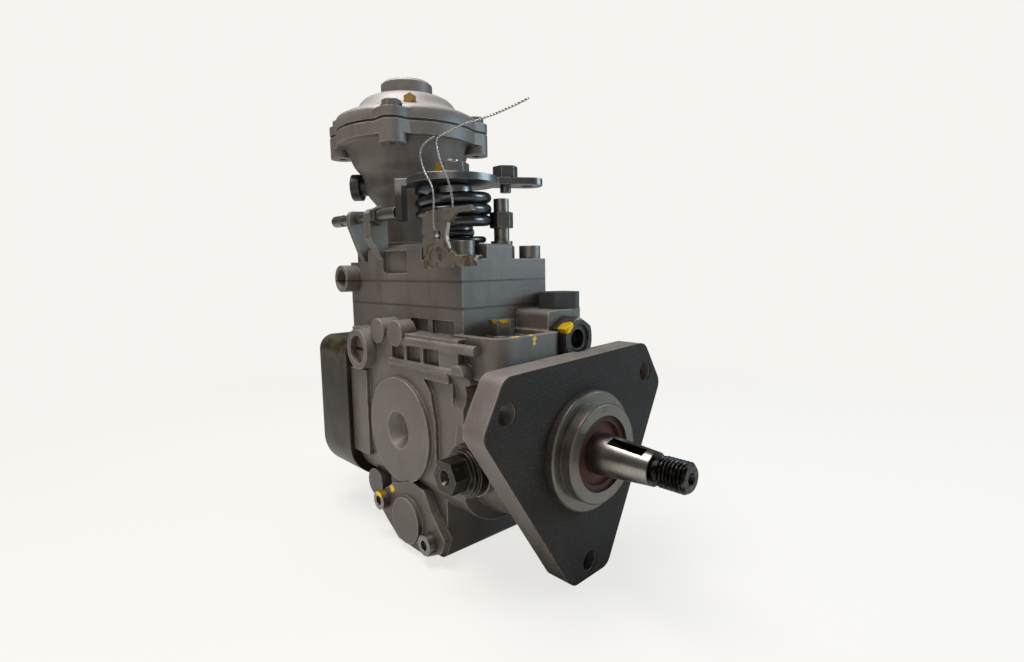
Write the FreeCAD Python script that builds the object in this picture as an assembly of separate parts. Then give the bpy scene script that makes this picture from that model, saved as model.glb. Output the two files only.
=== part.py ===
import FreeCAD, Part
import math
import os
from FreeCAD import Vector, Rotation, Placement

# Rotary diesel injection pump with a flange mount, a boost compensator and an accelerator lever.
# Millimetres. The origin is the centre of the pilot in the plane of the gasket's outer face.
# +X runs out along the drive shaft, +Z is up, and -Y is the side with the lock bolt.

# Mounting flange, gasket and pilot
PILOT_R = 25.0
PILOT_LENGTH = 3.9
PILOT_RELIEF = 1.0
NOSE_R = 20.5
NOSE_END = 8.8
GASKET_T = 0.8
FLANGE_T = 12.0
FLANGE_BACK = -GASKET_T - FLANGE_T
HOLE_CIRCLE_D = 99.35
HOLE_R = 4.5
HOLE_TURN = 2.4
FLANGE_SIDE = 38.4
FLANGE_TIP = 56.5
FLANGE_CORNER_R = 6.0

# Pump housing
BODY_HALF_Y = 38.0
BODY_BOTTOM = -36.0
BODY_TOP = 46.0
BODY_FRONT = -36.0
BODY_REAR = -125.0
BODY_CORNER_R = 22.0
MAIN_BORE_R = 31.05
BORE_FRONT = -14.0
NECK_FRONT = -42.0
NECK_REAR = -139.0
NECK_LEFT = -30.0
NECK_RIGHT = 34.0
COVER_SPLIT = 58.0
COVER_THREAD = 6.5
CHAMBER_FRONT = -51.5
CHAMBER_REAR = -121.0
COVER_WALL = 4.0
TRAY_FRONT = -16.0
TRAY_LEFT = -34.0
TRAY_RIGHT = 6.0
TRAY_RIM = 47.5
TRAY_FLOOR = 45.0
TRAY_WALL = 3.0
TRAY_CORNER_R = 8.0

# Casting details on the housing's near side
RIB_Z = 42.4
RIB_R = 2.2
LOWER_RIB_Z = 32.0
LOWER_RIB_R = 1.8
SIDE_POCKETS = ((-87.0, -76.5), (-74.5, -63.0), (-61.0, -49.0))
SIDE_POCKET_DEPTH = 2.6
NECK_POCKETS = ((-82.0, -67.5), (-64.6, -48.4))
NECK_POCKET_TOP = 52.3
NECK_POCKET_DEPTH = 1.8
SIDE_BOSS_FACE = -40.0
SIDE_BOSSES = ((-96.6, 45.8, 6.0), (-80.6, 45.8, 6.0), (-34.7, 31.5, 4.6))
SHOULDER = ((-53.5, -30.0), (-53.5, 8.0), (-56.5, 21.0), (-61.5, 27.0), (-35.0, 27.0), (-35.0, -30.0))

# Governor cover
SPACER_TOP = 69.4
COVER_RIM = 79.0
COVER_ROOF = 87.0
CHAMFER_Y = 20.4
CHAMFER_X = -55.0
COVER_INSIDE_REAR = -133.0
SIDE_WALL_REAR = -120.0
SIDE_WALL_FRONT = -71.5
SIDE_WALL_TOP = 85.5
SIDE_WALL_POCKET = (-105.5, -83.0, 73.0, 84.0)
SIDE_WALL_POCKET_DEPTH = 2.4
FRONT_BLOCK = ((-66.0, -16.0), (-42.0, -16.0), (-42.0, -1.4), (-50.0, 8.0), (-66.0, 8.0))
LUG_FRONT = -104.0
LUG_T = 6.0
REAR_LUG_FRONT = -122.5
REAR_LUG_T = 3.0

RETURN_X = -135.0
RETURN_Z = 70.5
RETURN_BOSS_R = 7.0
RETURN_BORE_R = 5.0
RETURN_FACE = -38.0

# Distributor head
HEAD_HALF_Y = 42.5
HEAD_TOP = 39.5
HEAD_BOTTOM = -37.0
HEAD_REAR = -156.0
SPIGOT_FRONT = -114.0
SPIGOT_R = 31.0
PLUG_SEAT = 4.5
OUTLET_OFFSET = 14.5
OUTLET_LENGTH = 28.0
OUTLET_R = 6.0
HOLDER_SEAT_R = 6.5
HOLDER_NUT_END = 10.0

# Clearances
RUN = 0.05
GAP = 0.3

# Drive shaft
SEAL_R = 8.5
JOURNAL_R = 10.0
TAPER_END = 33.0
TAPER_END_R = 6.5
THREAD_R = 6.0
THREAD_START = 36.0
SHAFT_END = 47.1
SEAL_BORE_R = 15.6
BUSH_R = 13.0
BUSH_LENGTH = 12.0
CLAW_IN = 6.0
CLAW_OUT = 13.0
CLAW_HALF = 3.5
CLAW_FLANGE_FRONT = -60.0
CLAW_FLANGE_REAR = -62.0
CLAW_END = -67.0

# Vane pump
RING_INNER_R = 24.0
RING_OFFSET = 1.9
ROTOR_R = 20.8
VANE_TIP_R = 21.8
VANE_T = 2.0
VANE_PUMP_REAR = -30.0
PLATE_REAR = -34.0

# Gears
MODULE = 1.5
DRIVE_TEETH = 37
GOVERNOR_TEETH = 23
GEAR_FRONT = -53.0
GEAR_REAR = -59.0

# Governor
GOVERNOR_Y = 11.0
GEAR_DISTANCE = MODULE * (DRIVE_TEETH + GOVERNOR_TEETH) / 2.0
GOVERNOR_Z = math.sqrt(GEAR_DISTANCE ** 2 - GOVERNOR_Y ** 2)
GOVERNOR_SHAFT_R = 4.0
GOVERNOR_SPACE_R = 22.9
CAGE_R = 18.5
WEIGHT_PIVOT_X = -63.5
WEIGHT_PIVOT_R = 14.0
WEIGHT_REAR = -76.5
WEIGHT_OUT_R = 17.0
WEIGHT_IN_R = 10.5
WEIGHT_SWING_R = 24.0
TOE_R = 6.4
TOE_REAR = -65.3
SLEEVE_R = 6.0
SLEEVE_REAR = -93.6
NUT_FACE = -13.2
NUT_AF = 17.0
NUT_ROOM_R = 10.2
SOCKET_R = 4.25

# Governor levers
PIVOT_SCREW_X = -110.0
PIVOT_SCREW_Z = 36.0
PIVOT_SEAT = 38.0
LEVER_PIN_X = -108.75
LEVER_PIN_Z = 24.0
LEVER_PIN_R = 2.5
CHEEK_Y = 12.5
CHEEK_T = 2.0
BALL_Z = 11.0
BALL_R = 2.0

# Roller ring, cam plate and plunger
RING_FRONT = -68.0
RING_REAR = -84.0
RING_R = 31.0
RING_BORE_R = 17.0
ROLLER_R = 5.0
ROLLER_X = -80.0
ROLLER_IN = 20.0
ROLLER_OUT = 29.0
ROLLER_PIN_R = 1.8
CAM_PEAK = -85.3
CAM_LIFT = 2.2
CAM_REAR = -93.0
CAM_R = 29.0
LOBE_COUNT = 4
LOBE_R = 12.0
PLUNGER_R = 6.0
PLUNGER_END = -148.0
FOOT_R = 9.0
FOOT_REAR = -97.0
BRIDGE_T = 3.0
SPRING_SIDE_Y = 20.0
COLLAR_R = 12.0
COLLAR_FRONT = -105.5
COLLAR_REAR = -112.0

# Injection advance
TIMER_X = -76.0
TIMER_Z = -42.5
TIMER_R = 10.0
TIMER_BLOCK_FRONT = -52.0
TIMER_BLOCK_REAR = -99.0
TIMER_BLOCK_BOTTOM = -56.0
TIMER_HALF_Y = 34.0
TIMER_COVER_T = 4.0
TIMER_BOSS_T = 6.5
TIMER_GASKET_T = 0.8
TIMER_PIN_R = 3.0
PISTON_HALF = 20.0
ADVANCE_ANGLE = 10.9
TIMER_SCREWS = ((17.5, -5.4), (-21.2, 3.9))

# Boost compensator
BOOST_X = -120.8
BOOST_Y = -2.2
BOOST_PIN_R = 4.0
DIAPHRAGM_Z = 145.0
DIAPHRAGM_T = 1.2
BOOST_FLANGE_R = 37.5
BOOST_FLANGE_T = 6.0
BOOST_LOBE_R = 6.4
BOOST_SCREW_CIRCLE_R = 36.0
BOOST_BOSS_T = 4.5
BOOST_CAP_R = 13.6
BOOST_TOP = 172.6
BOOST_PLUG_Z = 119.5
BOOST_PLUG_R = 7.0
BOOST_PLUG_OUT = 31.2
VENT_R = 3.4

# Accelerator lever
LEVER_X = -62.0
LEVER_Y = -18.0
LEVER_SHAFT_R = 5.0
CRANK_R = 6.0
LEVER_BOSS_TOP = 85.0
IDLE_SCREW_R = 2.5
IDLE_SCREW_Y = -33.0
IDLE_SCREW_Z = 101.0
IDLE_SCREW_END = -84.4
IDLE_SCREW_LENGTH = 62.6
LEVER_TAB_GAP = 2.0
LEVER_PLATE_Z = 112.0
LEVER_PLATE_T = 3.0
LEVER_PLATE_R = 20.5
ARM_LENGTH = 41.0
ARM_ANGLE = 59.0
RETURN_SPRING_R = 14.0
RETURN_WIRE_R = 1.5

# Lock bolt, inlet and covers' screws
LOCK_X = -31.0
LOCK_Z = -7.0
LOCK_SEAT = -36.0
LOCK_BOLT_R = 4.0
LOCK_WASHER_R = 10.8
INLET_X = -31.5
INLET_Y = 18.5
INLET_TOP = 56.0
INLET_STEM_R = 5.2
INLET_STEM = 5.4
SOLENOID_X = -147.5
SOLENOID_Y = 14.0
COVER_SCREWS = ((-47.0, -25.0), (-47.0, 15.0), (-131.5, -24.0), (-131.5, 28.0))
HEAD_SCREWS = ((-34.0, 32.0), (34.0, 32.0), (-30.0, -27.0), (30.0, -27.0))
SCREW_R = 3.0
SCREW_HEAD_R = 5.0
SCREW_HEAD_H = 6.0

# Lock tag and seal wire
TAG_Y = -40.0
TAG_T = 1.6
TAG_HOLE_R = 2.0
TAG_HOLE_X = -43.0
TAG_HOLE_Z = 88.5
WIRE_R = 0.5

X_AXIS = Vector(1, 0, 0)
Y_AXIS = Vector(0, 1, 0)
Z_AXIS = Vector(0, 0, 1)


def box(x0, x1, y0, y1, z0, z1):
    return Part.makeBox(abs(x1 - x0), abs(y1 - y0), abs(z1 - z0), Vector(min(x0, x1), min(y0, y1), min(z0, z1)))


def cyl_x(r, x0, x1, y=0.0, z=0.0):
    return Part.makeCylinder(r, abs(x1 - x0), Vector(min(x0, x1), y, z), X_AXIS)


def cyl_y(r, y0, y1, x, z):
    return Part.makeCylinder(r, abs(y1 - y0), Vector(x, min(y0, y1), z), Y_AXIS)


def cyl_z(r, z0, z1, x, y):
    return Part.makeCylinder(r, abs(z1 - z0), Vector(x, y, min(z0, z1)), Z_AXIS)


def prism(points, along):
    """Flat outline pushed along a vector."""
    wire = Part.makePolygon(points + [points[0]])
    return Part.Face(wire).extrude(along)


def prism_x(points, x0, x1):
    return prism([Vector(x0, y, z) for y, z in points], Vector(x1 - x0, 0, 0))


def prism_y(points, y0, y1):
    return prism([Vector(x, y0, z) for x, z in points], Vector(0, y1 - y0, 0))


def prism_z(points, z0, z1):
    return prism([Vector(x, y, z0) for x, y in points], Vector(0, 0, z1 - z0))


def revolve_x(points, y=0.0, z=0.0):
    """Outline of (x, radius) points turned about a line along X."""
    wire = Part.makePolygon([Vector(x, y, z + r) for x, r in points + [points[0]]])
    return Part.Face(wire).revolve(Vector(0, y, z), X_AXIS, 360)


def revolve_z(points, x, y):
    """Outline of (radius, z) points turned about a line along Z."""
    wire = Part.makePolygon([Vector(x + r, y, z) for r, z in points + [points[0]]])
    return Part.Face(wire).revolve(Vector(x, y, 0), Z_AXIS, 360)


def revolve_z_curve(curve, rest, x, y):
    """Like revolve_z, with a smooth line through the points of curve and straight lines along rest."""
    def place(r, z):
        return Vector(x + r, y, z)
    line = Part.BSplineCurve()
    line.interpolate([place(r, z) for r, z in curve])
    edges = [line.toShape()]
    corners = [curve[-1]] + rest + [curve[0]]
    for a, b in zip(corners, corners[1:]):
        edges.append(Part.LineSegment(place(*a), place(*b)).toShape())
    return Part.Face(Part.Wire(edges)).revolve(Vector(x, y, 0), Z_AXIS, 360)


def hexagon(across_flats, height, base, direction):
    corner = across_flats / math.sqrt(3.0)
    points = [Vector(corner * math.cos(math.radians(60 * i)), corner * math.sin(math.radians(60 * i)), 0)
              for i in range(6)]
    shape = prism(points, Vector(0, 0, height))
    shape.Placement = Placement(base, Rotation(Z_AXIS, direction))
    return shape


def turned(shape, angle, centre, axis):
    copy = shape.copy()
    copy.rotate(centre, axis, angle)
    return copy


def joined(shapes):
    return shapes[0].fuse(shapes[1:]).removeSplitter()


def rounded(shape, radius, keep):
    """Fillet the edges whose middle point passes the test."""
    edges = [e for e in shape.Edges if keep(e.CenterOfMass, e)]
    return shape.makeFillet(radius, edges)


def along(edge, direction):
    tangent = edge.tangentAt(edge.FirstParameter)
    return abs(abs(tangent.dot(direction)) - 1.0) < 1e-6


def spring(mean_r, wire_r, turns, base, direction, length):
    """Helical spring standing on base: a spline tube with round sections and flat ends."""
    steps = 12
    half = math.sqrt(0.5)
    ring = [(1, 0, 1), (1, 1, half), (0, 1, 1), (-1, 1, half), (-1, 0, 1),
            (-1, -1, half), (0, -1, 1), (1, -1, half), (1, 0, 1)]
    rise = (length - 2.0 * wire_r) / (turns * steps)
    spread = 3.0 / (2.0 + math.cos(2.0 * math.pi / steps))
    poles = []
    for i in range(turns * steps + 1):
        turn = 2.0 * math.pi * i / steps
        row = []
        for across, up, weight in ring:
            radius = spread * (mean_r + wire_r * across)
            row.append(Vector(radius * math.cos(turn), radius * math.sin(turn), wire_r * (1 + up) + rise * i))
        poles.append(row)
    weights = [[point[2] for point in ring] for row in poles]
    inner = len(poles) - 4
    surface = Part.BSplineSurface()
    surface.buildFromPolesMultsKnots(poles, [4] + [1] * inner + [4], [3, 2, 2, 2, 3], list(range(inner + 2)),
                                     list(range(5)), False, False, 3, 2, weights)
    tube = surface.toShape()
    ends = [Part.Face(Part.Wire([e])) for e in tube.Edges if e.isClosed() and e.Length < 7.0 * wire_r]
    shell = Part.makeShell([tube] + ends)
    shell.sewShape()
    coil = Part.makeSolid(shell)
    coil.Placement = Placement(base, Rotation(Z_AXIS, direction))
    return coil


def save(name, *solids):
    shape = solids[0] if len(solids) == 1 else Part.makeCompound(list(solids))
    shape.exportStep("parts/%s.step" % name)


def polar(radius, angle):
    return radius * math.cos(math.radians(angle)), radius * math.sin(math.radians(angle))


HOLE_ANGLES = [HOLE_TURN + 30.0 + 120.0 * i for i in range(3)]


def flange_outline(x0, x1):
    """Triangle with cut tips, one tip at each bolt hole."""
    reach = (FLANGE_SIDE - FLANGE_TIP * 0.5) / math.cos(math.radians(30))
    points = []
    for angle in HOLE_ANGLES:
        ty, tz = polar(FLANGE_TIP, angle)
        ny, nz = polar(reach, angle + 90)
        points.append((ty - ny, tz - nz))
        points.append((ty + ny, tz + nz))
    plate = prism_x(points, x0, x1)
    return rounded(plate, FLANGE_CORNER_R, lambda c, e: along(e, X_AXIS))


def flange_holes(x0, x1):
    centres = [polar(HOLE_CIRCLE_D / 2.0, angle) for angle in HOLE_ANGLES]
    return [cyl_x(HOLE_R, x0, x1, y, z) for y, z in centres]


def cover_outline(z0, z1, inset=0.0):
    """Plan of the governor cover, with its front right corner cut away."""
    front = NECK_FRONT - inset
    rear = NECK_REAR + inset
    left = NECK_LEFT + inset
    right = NECK_RIGHT - inset
    points = [(front, left), (front, CHAMFER_Y - inset * 0.4), (CHAMFER_X - inset * 0.4, right), (rear, right),
              (rear, left)]
    return prism_z(points, z0, z1)


def cover_screw_holes(z0, z1):
    return [cyl_z(SCREW_R, z0, z1, x, y) for x, y in COVER_SCREWS]


def timer_outline(grow):
    """Outline of the injection advance unit's cover, with a lobe at each screw."""
    corners = [(28, -1.5), (18.5, 8.5), (13, 17.5), (2.5, 19.5), (-12.5, 14.5), (-25.5, 6.5), (-27.5, -1),
               (-21, -6), (-10, -13), (14, -13.5), (25, -8)]
    return [(TIMER_X + grow * x, TIMER_Z + grow * z) for x, z in corners]


def pump_housing():
    flange = flange_outline(FLANGE_BACK, -GASKET_T)
    neck_r = PILOT_R - PILOT_RELIEF
    pilot = revolve_x([(-GASKET_T, 0), (-GASKET_T, neck_r), (0, neck_r), (0, PILOT_R), (PILOT_LENGTH - 0.6, PILOT_R),
                       (PILOT_LENGTH, PILOT_R - 0.6), (PILOT_LENGTH, NOSE_R), (NOSE_END - 0.5, NOSE_R),
                       (NOSE_END, NOSE_R - 0.5), (NOSE_END, 0)])
    hub = revolve_x([(FLANGE_BACK, 0), (FLANGE_BACK, 33.5), (-20, 34.0), (-28, 36.0), (-40, 37.5), (-40, 0)])
    body = box(BODY_REAR, BODY_FRONT, -BODY_HALF_Y, BODY_HALF_Y, BODY_BOTTOM, BODY_TOP)
    body = rounded(body, BODY_CORNER_R, lambda c, e: along(e, X_AXIS) and c.z < 0)
    neck = box(NECK_REAR, NECK_FRONT, NECK_LEFT, NECK_RIGHT, BODY_TOP - 2.0, COVER_SPLIT)
    bulge = cyl_x(GOVERNOR_SPACE_R + 3.6, NECK_FRONT, -96, GOVERNOR_Y, GOVERNOR_Z)
    bulge = bulge.common(box(-100, NECK_FRONT, 0, 60, 0, COVER_SPLIT))
    tray = box(NECK_FRONT - 2, TRAY_FRONT, TRAY_LEFT, TRAY_RIGHT, 30, TRAY_RIM)
    tray = rounded(tray, TRAY_CORNER_R, lambda c, e: along(e, Z_AXIS) and c.x > -30)
    governor_boss = cyl_x(11.0, NECK_FRONT - 2, NUT_FACE - 9, GOVERNOR_Y, GOVERNOR_Z)
    boss_block = box(NECK_FRONT - 2, NUT_FACE - 9, 1.0, 18.0, 36.0, INLET_TOP)
    boss_block = rounded(boss_block, 2.5, lambda c, e: c.z > INLET_TOP - 0.1 and along(e, X_AXIS))
    inlet_boss = cyl_z(9.5, 28, INLET_TOP, INLET_X, INLET_Y)
    pad = cyl_y(25.0, -BODY_HALF_Y - 2.0, -BODY_HALF_Y, -81, 0)
    rear_pad = box(BODY_REAR, -109, -BODY_HALF_Y - 2.0, -BODY_HALF_Y, -19, 25)
    timer_block = box(TIMER_BLOCK_REAR, TIMER_BLOCK_FRONT, -TIMER_HALF_Y, TIMER_HALF_Y, TIMER_BLOCK_BOTTOM, -10)
    timer_block = rounded(timer_block, 6.0, lambda c, e: along(e, Y_AXIS) and c.z < -40)
    timer_barrel = cyl_y(TIMER_R + 4.5, -TIMER_HALF_Y, TIMER_HALF_Y, TIMER_X, TIMER_Z)
    lock_boss = cyl_y(11.5, LOCK_SEAT, 0, LOCK_X, LOCK_Z)
    pivot_boss = cyl_y(10.0, -44.0, 44.0, PIVOT_SCREW_X, PIVOT_SCREW_Z)
    round_bosses = [cyl_y(r, SIDE_BOSS_FACE, -20.0, x, z) for x, z, r in SIDE_BOSSES]
    rib = cyl_x(RIB_R, SIDE_BOSSES[1][0], TRAY_FRONT - 8.0, -BODY_HALF_Y + 1.0, RIB_Z)
    rib = rib.common(box(-100, TRAY_FRONT - 9.0, -60, TRAY_LEFT + 1.0, 30, 50))
    lower_rib = cyl_x(LOWER_RIB_R, -88.0, BODY_FRONT, -BODY_HALF_Y + 0.4, LOWER_RIB_Z)
    rear_boss = cyl_y(7.0, -36.0, -10.0, -112, -35.0)
    side_cuts = [box(x0, x1, -60, -BODY_HALF_Y + SIDE_POCKET_DEPTH, LOWER_RIB_Z, RIB_Z) for x0, x1 in SIDE_POCKETS]
    side_cuts.append(prism_y(list(SHOULDER), -60, LOCK_SEAT))
    body = body.cut(side_cuts)
    shape = joined([body, neck, bulge, hub, flange, pilot, tray, governor_boss, boss_block, inlet_boss, pad, rear_pad,
                    timer_block, timer_barrel, lock_boss, pivot_boss, rib, lower_rib, rear_boss] + round_bosses)
    cuts = flange_holes(FLANGE_BACK - 30, 1)
    cuts += [cyl_x(HOLE_R + 5.5, FLANGE_BACK - 30, FLANGE_BACK, *polar(HOLE_CIRCLE_D / 2.0, a))
             for a in HOLE_ANGLES]
    cuts.append(cyl_x(SEAL_BORE_R, 0.6, NOSE_END + 1))
    cuts.append(cyl_x(BUSH_R, BORE_FRONT - 1, 0.7))
    cuts.append(cyl_x(MAIN_BORE_R, BODY_REAR - 1, BORE_FRONT))
    chamber = box(CHAMBER_REAR, CHAMBER_FRONT, NECK_LEFT + COVER_WALL, NECK_RIGHT - COVER_WALL, 0, COVER_SPLIT + 1)
    cuts.append(chamber)
    cuts.append(cyl_x(GOVERNOR_SPACE_R, CHAMBER_FRONT, -94, GOVERNOR_Y, GOVERNOR_Z))
    cuts.append(cyl_x(6.6, CHAMBER_FRONT - 1, -10, GOVERNOR_Y, GOVERNOR_Z))
    cuts.append(cyl_y(TIMER_R + RUN, -60, 60, TIMER_X, TIMER_Z))
    cuts.append(box(TIMER_X - 4, TIMER_X + 4, -14, 6, TIMER_Z, -29))
    cuts.append(cyl_z(INLET_STEM_R, INLET_TOP - INLET_STEM, INLET_TOP + 1, INLET_X, INLET_Y))
    cuts.append(cyl_y(LOCK_BOLT_R, -37.0, -34.0, LOCK_X, LOCK_Z))
    cuts.append(cyl_y(LOCK_WASHER_R + 0.5, -60.0, LOCK_SEAT, LOCK_X, LOCK_Z))
    cuts += [cyl_y(7.0, side * PIVOT_SEAT, side * 46.0, PIVOT_SCREW_X, PIVOT_SCREW_Z) for side in (-1, 1)]
    cuts += [prism_y(timer_outline(1.03), side * TIMER_HALF_Y, side * 60.0) for side in (-1, 1)]
    cuts += [cyl_y(SCREW_R, side * 20.0, side * 42.0, PIVOT_SCREW_X, PIVOT_SCREW_Z) for side in (-1, 1)]
    cuts.append(Part.makeCone(9.0, 4.5, 6.0, Vector(-81, -BODY_HALF_Y - 2.0, 0), Y_AXIS))
    nut_room = cyl_x(NUT_ROOM_R, NUT_FACE - 8.8, TRAY_FRONT + 1, GOVERNOR_Y, GOVERNOR_Z)
    cuts.append(nut_room)
    tray_pocket = box(NECK_FRONT, TRAY_FRONT - TRAY_WALL, TRAY_LEFT + TRAY_WALL, -1.0, TRAY_FLOOR, TRAY_RIM + 2)
    cuts.append(rounded(tray_pocket, TRAY_CORNER_R - TRAY_WALL, lambda c, e: along(e, Z_AXIS) and c.x > -30))
    cuts += [box(x0, x1, NECK_LEFT - 2, NECK_LEFT + NECK_POCKET_DEPTH, BODY_TOP, NECK_POCKET_TOP)
             for x0, x1 in NECK_POCKETS]
    cuts += cover_screw_holes(COVER_SPLIT - COVER_THREAD, COVER_SPLIT + 1)
    cuts += [cyl_x(SCREW_R, BODY_REAR - 1, BODY_REAR + 14, y, z) for y, z in HEAD_SCREWS]
    cuts += [cyl_y(2.5, side * 26, side * 40, TIMER_X + dx, TIMER_Z + dz)
             for side in (-1, 1) for dx, dz in TIMER_SCREWS]
    shape = shape.cut(cuts)
    save("pump_housing", shape)


def gaskets_and_seals():
    gasket = flange_outline(-GASKET_T, 0)
    gasket = gasket.cut(flange_holes(-2, 1) + [cyl_x(PILOT_R, -2, 1)])
    save("flange_gasket", gasket)
    seal = revolve_x([(0.6, SEAL_R + 2.5), (0.6, SEAL_BORE_R), (7.3, SEAL_BORE_R), (7.3, 13.2), (5.6, 12.8),
                      (5.6, SEAL_R + RUN), (3.6, SEAL_R + RUN), (2.2, SEAL_R + 2.5)])
    save("shaft_seal", seal)
    bush = cyl_x(BUSH_R, BORE_FRONT + 1.0, BORE_FRONT + 1.0 + BUSH_LENGTH)
    save("shaft_bush", bush.cut(cyl_x(JOURNAL_R + RUN, -40, 10)))


def drive_shaft():
    profile = [(CLAW_FLANGE_REAR, 0), (CLAW_FLANGE_REAR, CLAW_OUT), (CLAW_FLANGE_FRONT, CLAW_OUT),
               (CLAW_FLANGE_FRONT, JOURNAL_R), (-0.8, JOURNAL_R), (0.4, SEAL_R), (8.5, SEAL_R),
               (TAPER_END, TAPER_END_R), (TAPER_END, 4.9), (THREAD_START - 0.8, 4.9),
               (THREAD_START, THREAD_R), (SHAFT_END - 1.2, THREAD_R), (SHAFT_END, THREAD_R - 1.2), (SHAFT_END, 0)]
    shaft = revolve_x(profile)
    ring = cyl_x(CLAW_OUT, CLAW_END, CLAW_FLANGE_REAR).cut(cyl_x(CLAW_IN, CLAW_END - 1, CLAW_FLANGE_REAR + 1))
    claws = ring.common(box(CLAW_END, CLAW_FLANGE_REAR, -20, 20, -CLAW_HALF, CLAW_HALF))
    keyway = cyl_y(8.0, -2.0, 2.0, 22.0, 11.6)
    centre_hole = Part.makeCone(1.2, 2.4, 2.2, Vector(SHAFT_END - 2.0, 0, 0), X_AXIS)
    shaft = joined([shaft] + claws.Solids).cut([keyway, centre_hole])
    save("drive_shaft", shaft)


def vane_pump():
    ring = cyl_x(MAIN_BORE_R - RUN, VANE_PUMP_REAR, BORE_FRONT)
    ring = ring.cut(cyl_x(RING_INNER_R, -40, -10, RING_OFFSET, 0))
    save("eccentric_ring", ring)
    plate = cyl_x(MAIN_BORE_R - RUN, PLATE_REAR, VANE_PUMP_REAR).cut(cyl_x(JOURNAL_R + 0.6, -40, -10))
    screws = []
    for z in (-27.5, 27.5):
        hole = cyl_x(1.6, PLATE_REAR - 1, VANE_PUMP_REAR + 1, 0, z)
        plate = plate.cut(hole)
        screws.append(joined([cyl_x(1.6, PLATE_REAR, VANE_PUMP_REAR, 0, z),
                              cyl_x(2.8, PLATE_REAR - 2.0, PLATE_REAR, 0, z)]))
    save("support_plate", plate, *screws)
    rotor = cyl_x(ROTOR_R, VANE_PUMP_REAR + 0.4, BORE_FRONT - 0.4).cut(cyl_x(JOURNAL_R, -40, -10))
    vanes = []
    for angle in (45, 135, 225, 315):
        slot = box(-40, -10, 13.0, 30, -VANE_T / 2, VANE_T / 2)
        rotor = rotor.cut(turned(slot, angle, Vector(0, 0, 0), X_AXIS))
        vane = box(VANE_PUMP_REAR + 0.5, BORE_FRONT - 0.5, 13.5, VANE_TIP_R, -VANE_T / 2, VANE_T / 2)
        vanes.append(turned(vane, angle, Vector(0, 0, 0), X_AXIS))
    save("vane_rotor", rotor, *vanes)


def gear(teeth, bore_r, x0, x1, phase):
    """Spur gear about X through the origin, with a tooth on +Y when phase is zero."""
    pitch_r = MODULE * teeth / 2.0
    outer = pitch_r + 0.8 * MODULE
    root = pitch_r - 1.25 * MODULE
    step = 360.0 / teeth
    points = []
    for i in range(teeth):
        middle = phase + i * step
        points.append(polar(root, middle - 0.32 * step))
        points.append(polar(pitch_r, middle - 0.215 * step))
        points.append(polar(outer, middle - 0.115 * step))
        points.append(polar(outer, middle + 0.115 * step))
        points.append(polar(pitch_r, middle + 0.215 * step))
        points.append(polar(root, middle + 0.32 * step))
    return prism_x(points, x0, x1).cut(cyl_x(bore_r, x0 - 1, x1 + 1))


def mesh_angle():
    """Direction of the governor axis seen from the drive shaft."""
    return math.degrees(math.atan2(GOVERNOR_Z, GOVERNOR_Y))


def drive_gear():
    wheel = gear(DRIVE_TEETH, JOURNAL_R, GEAR_REAR, GEAR_FRONT, mesh_angle())
    hub = cyl_x(JOURNAL_R + 4.0, GEAR_FRONT, GEAR_FRONT + 3.0).cut(cyl_x(JOURNAL_R, -60, -40))
    save("drive_gear", joined([wheel, hub]))


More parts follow.
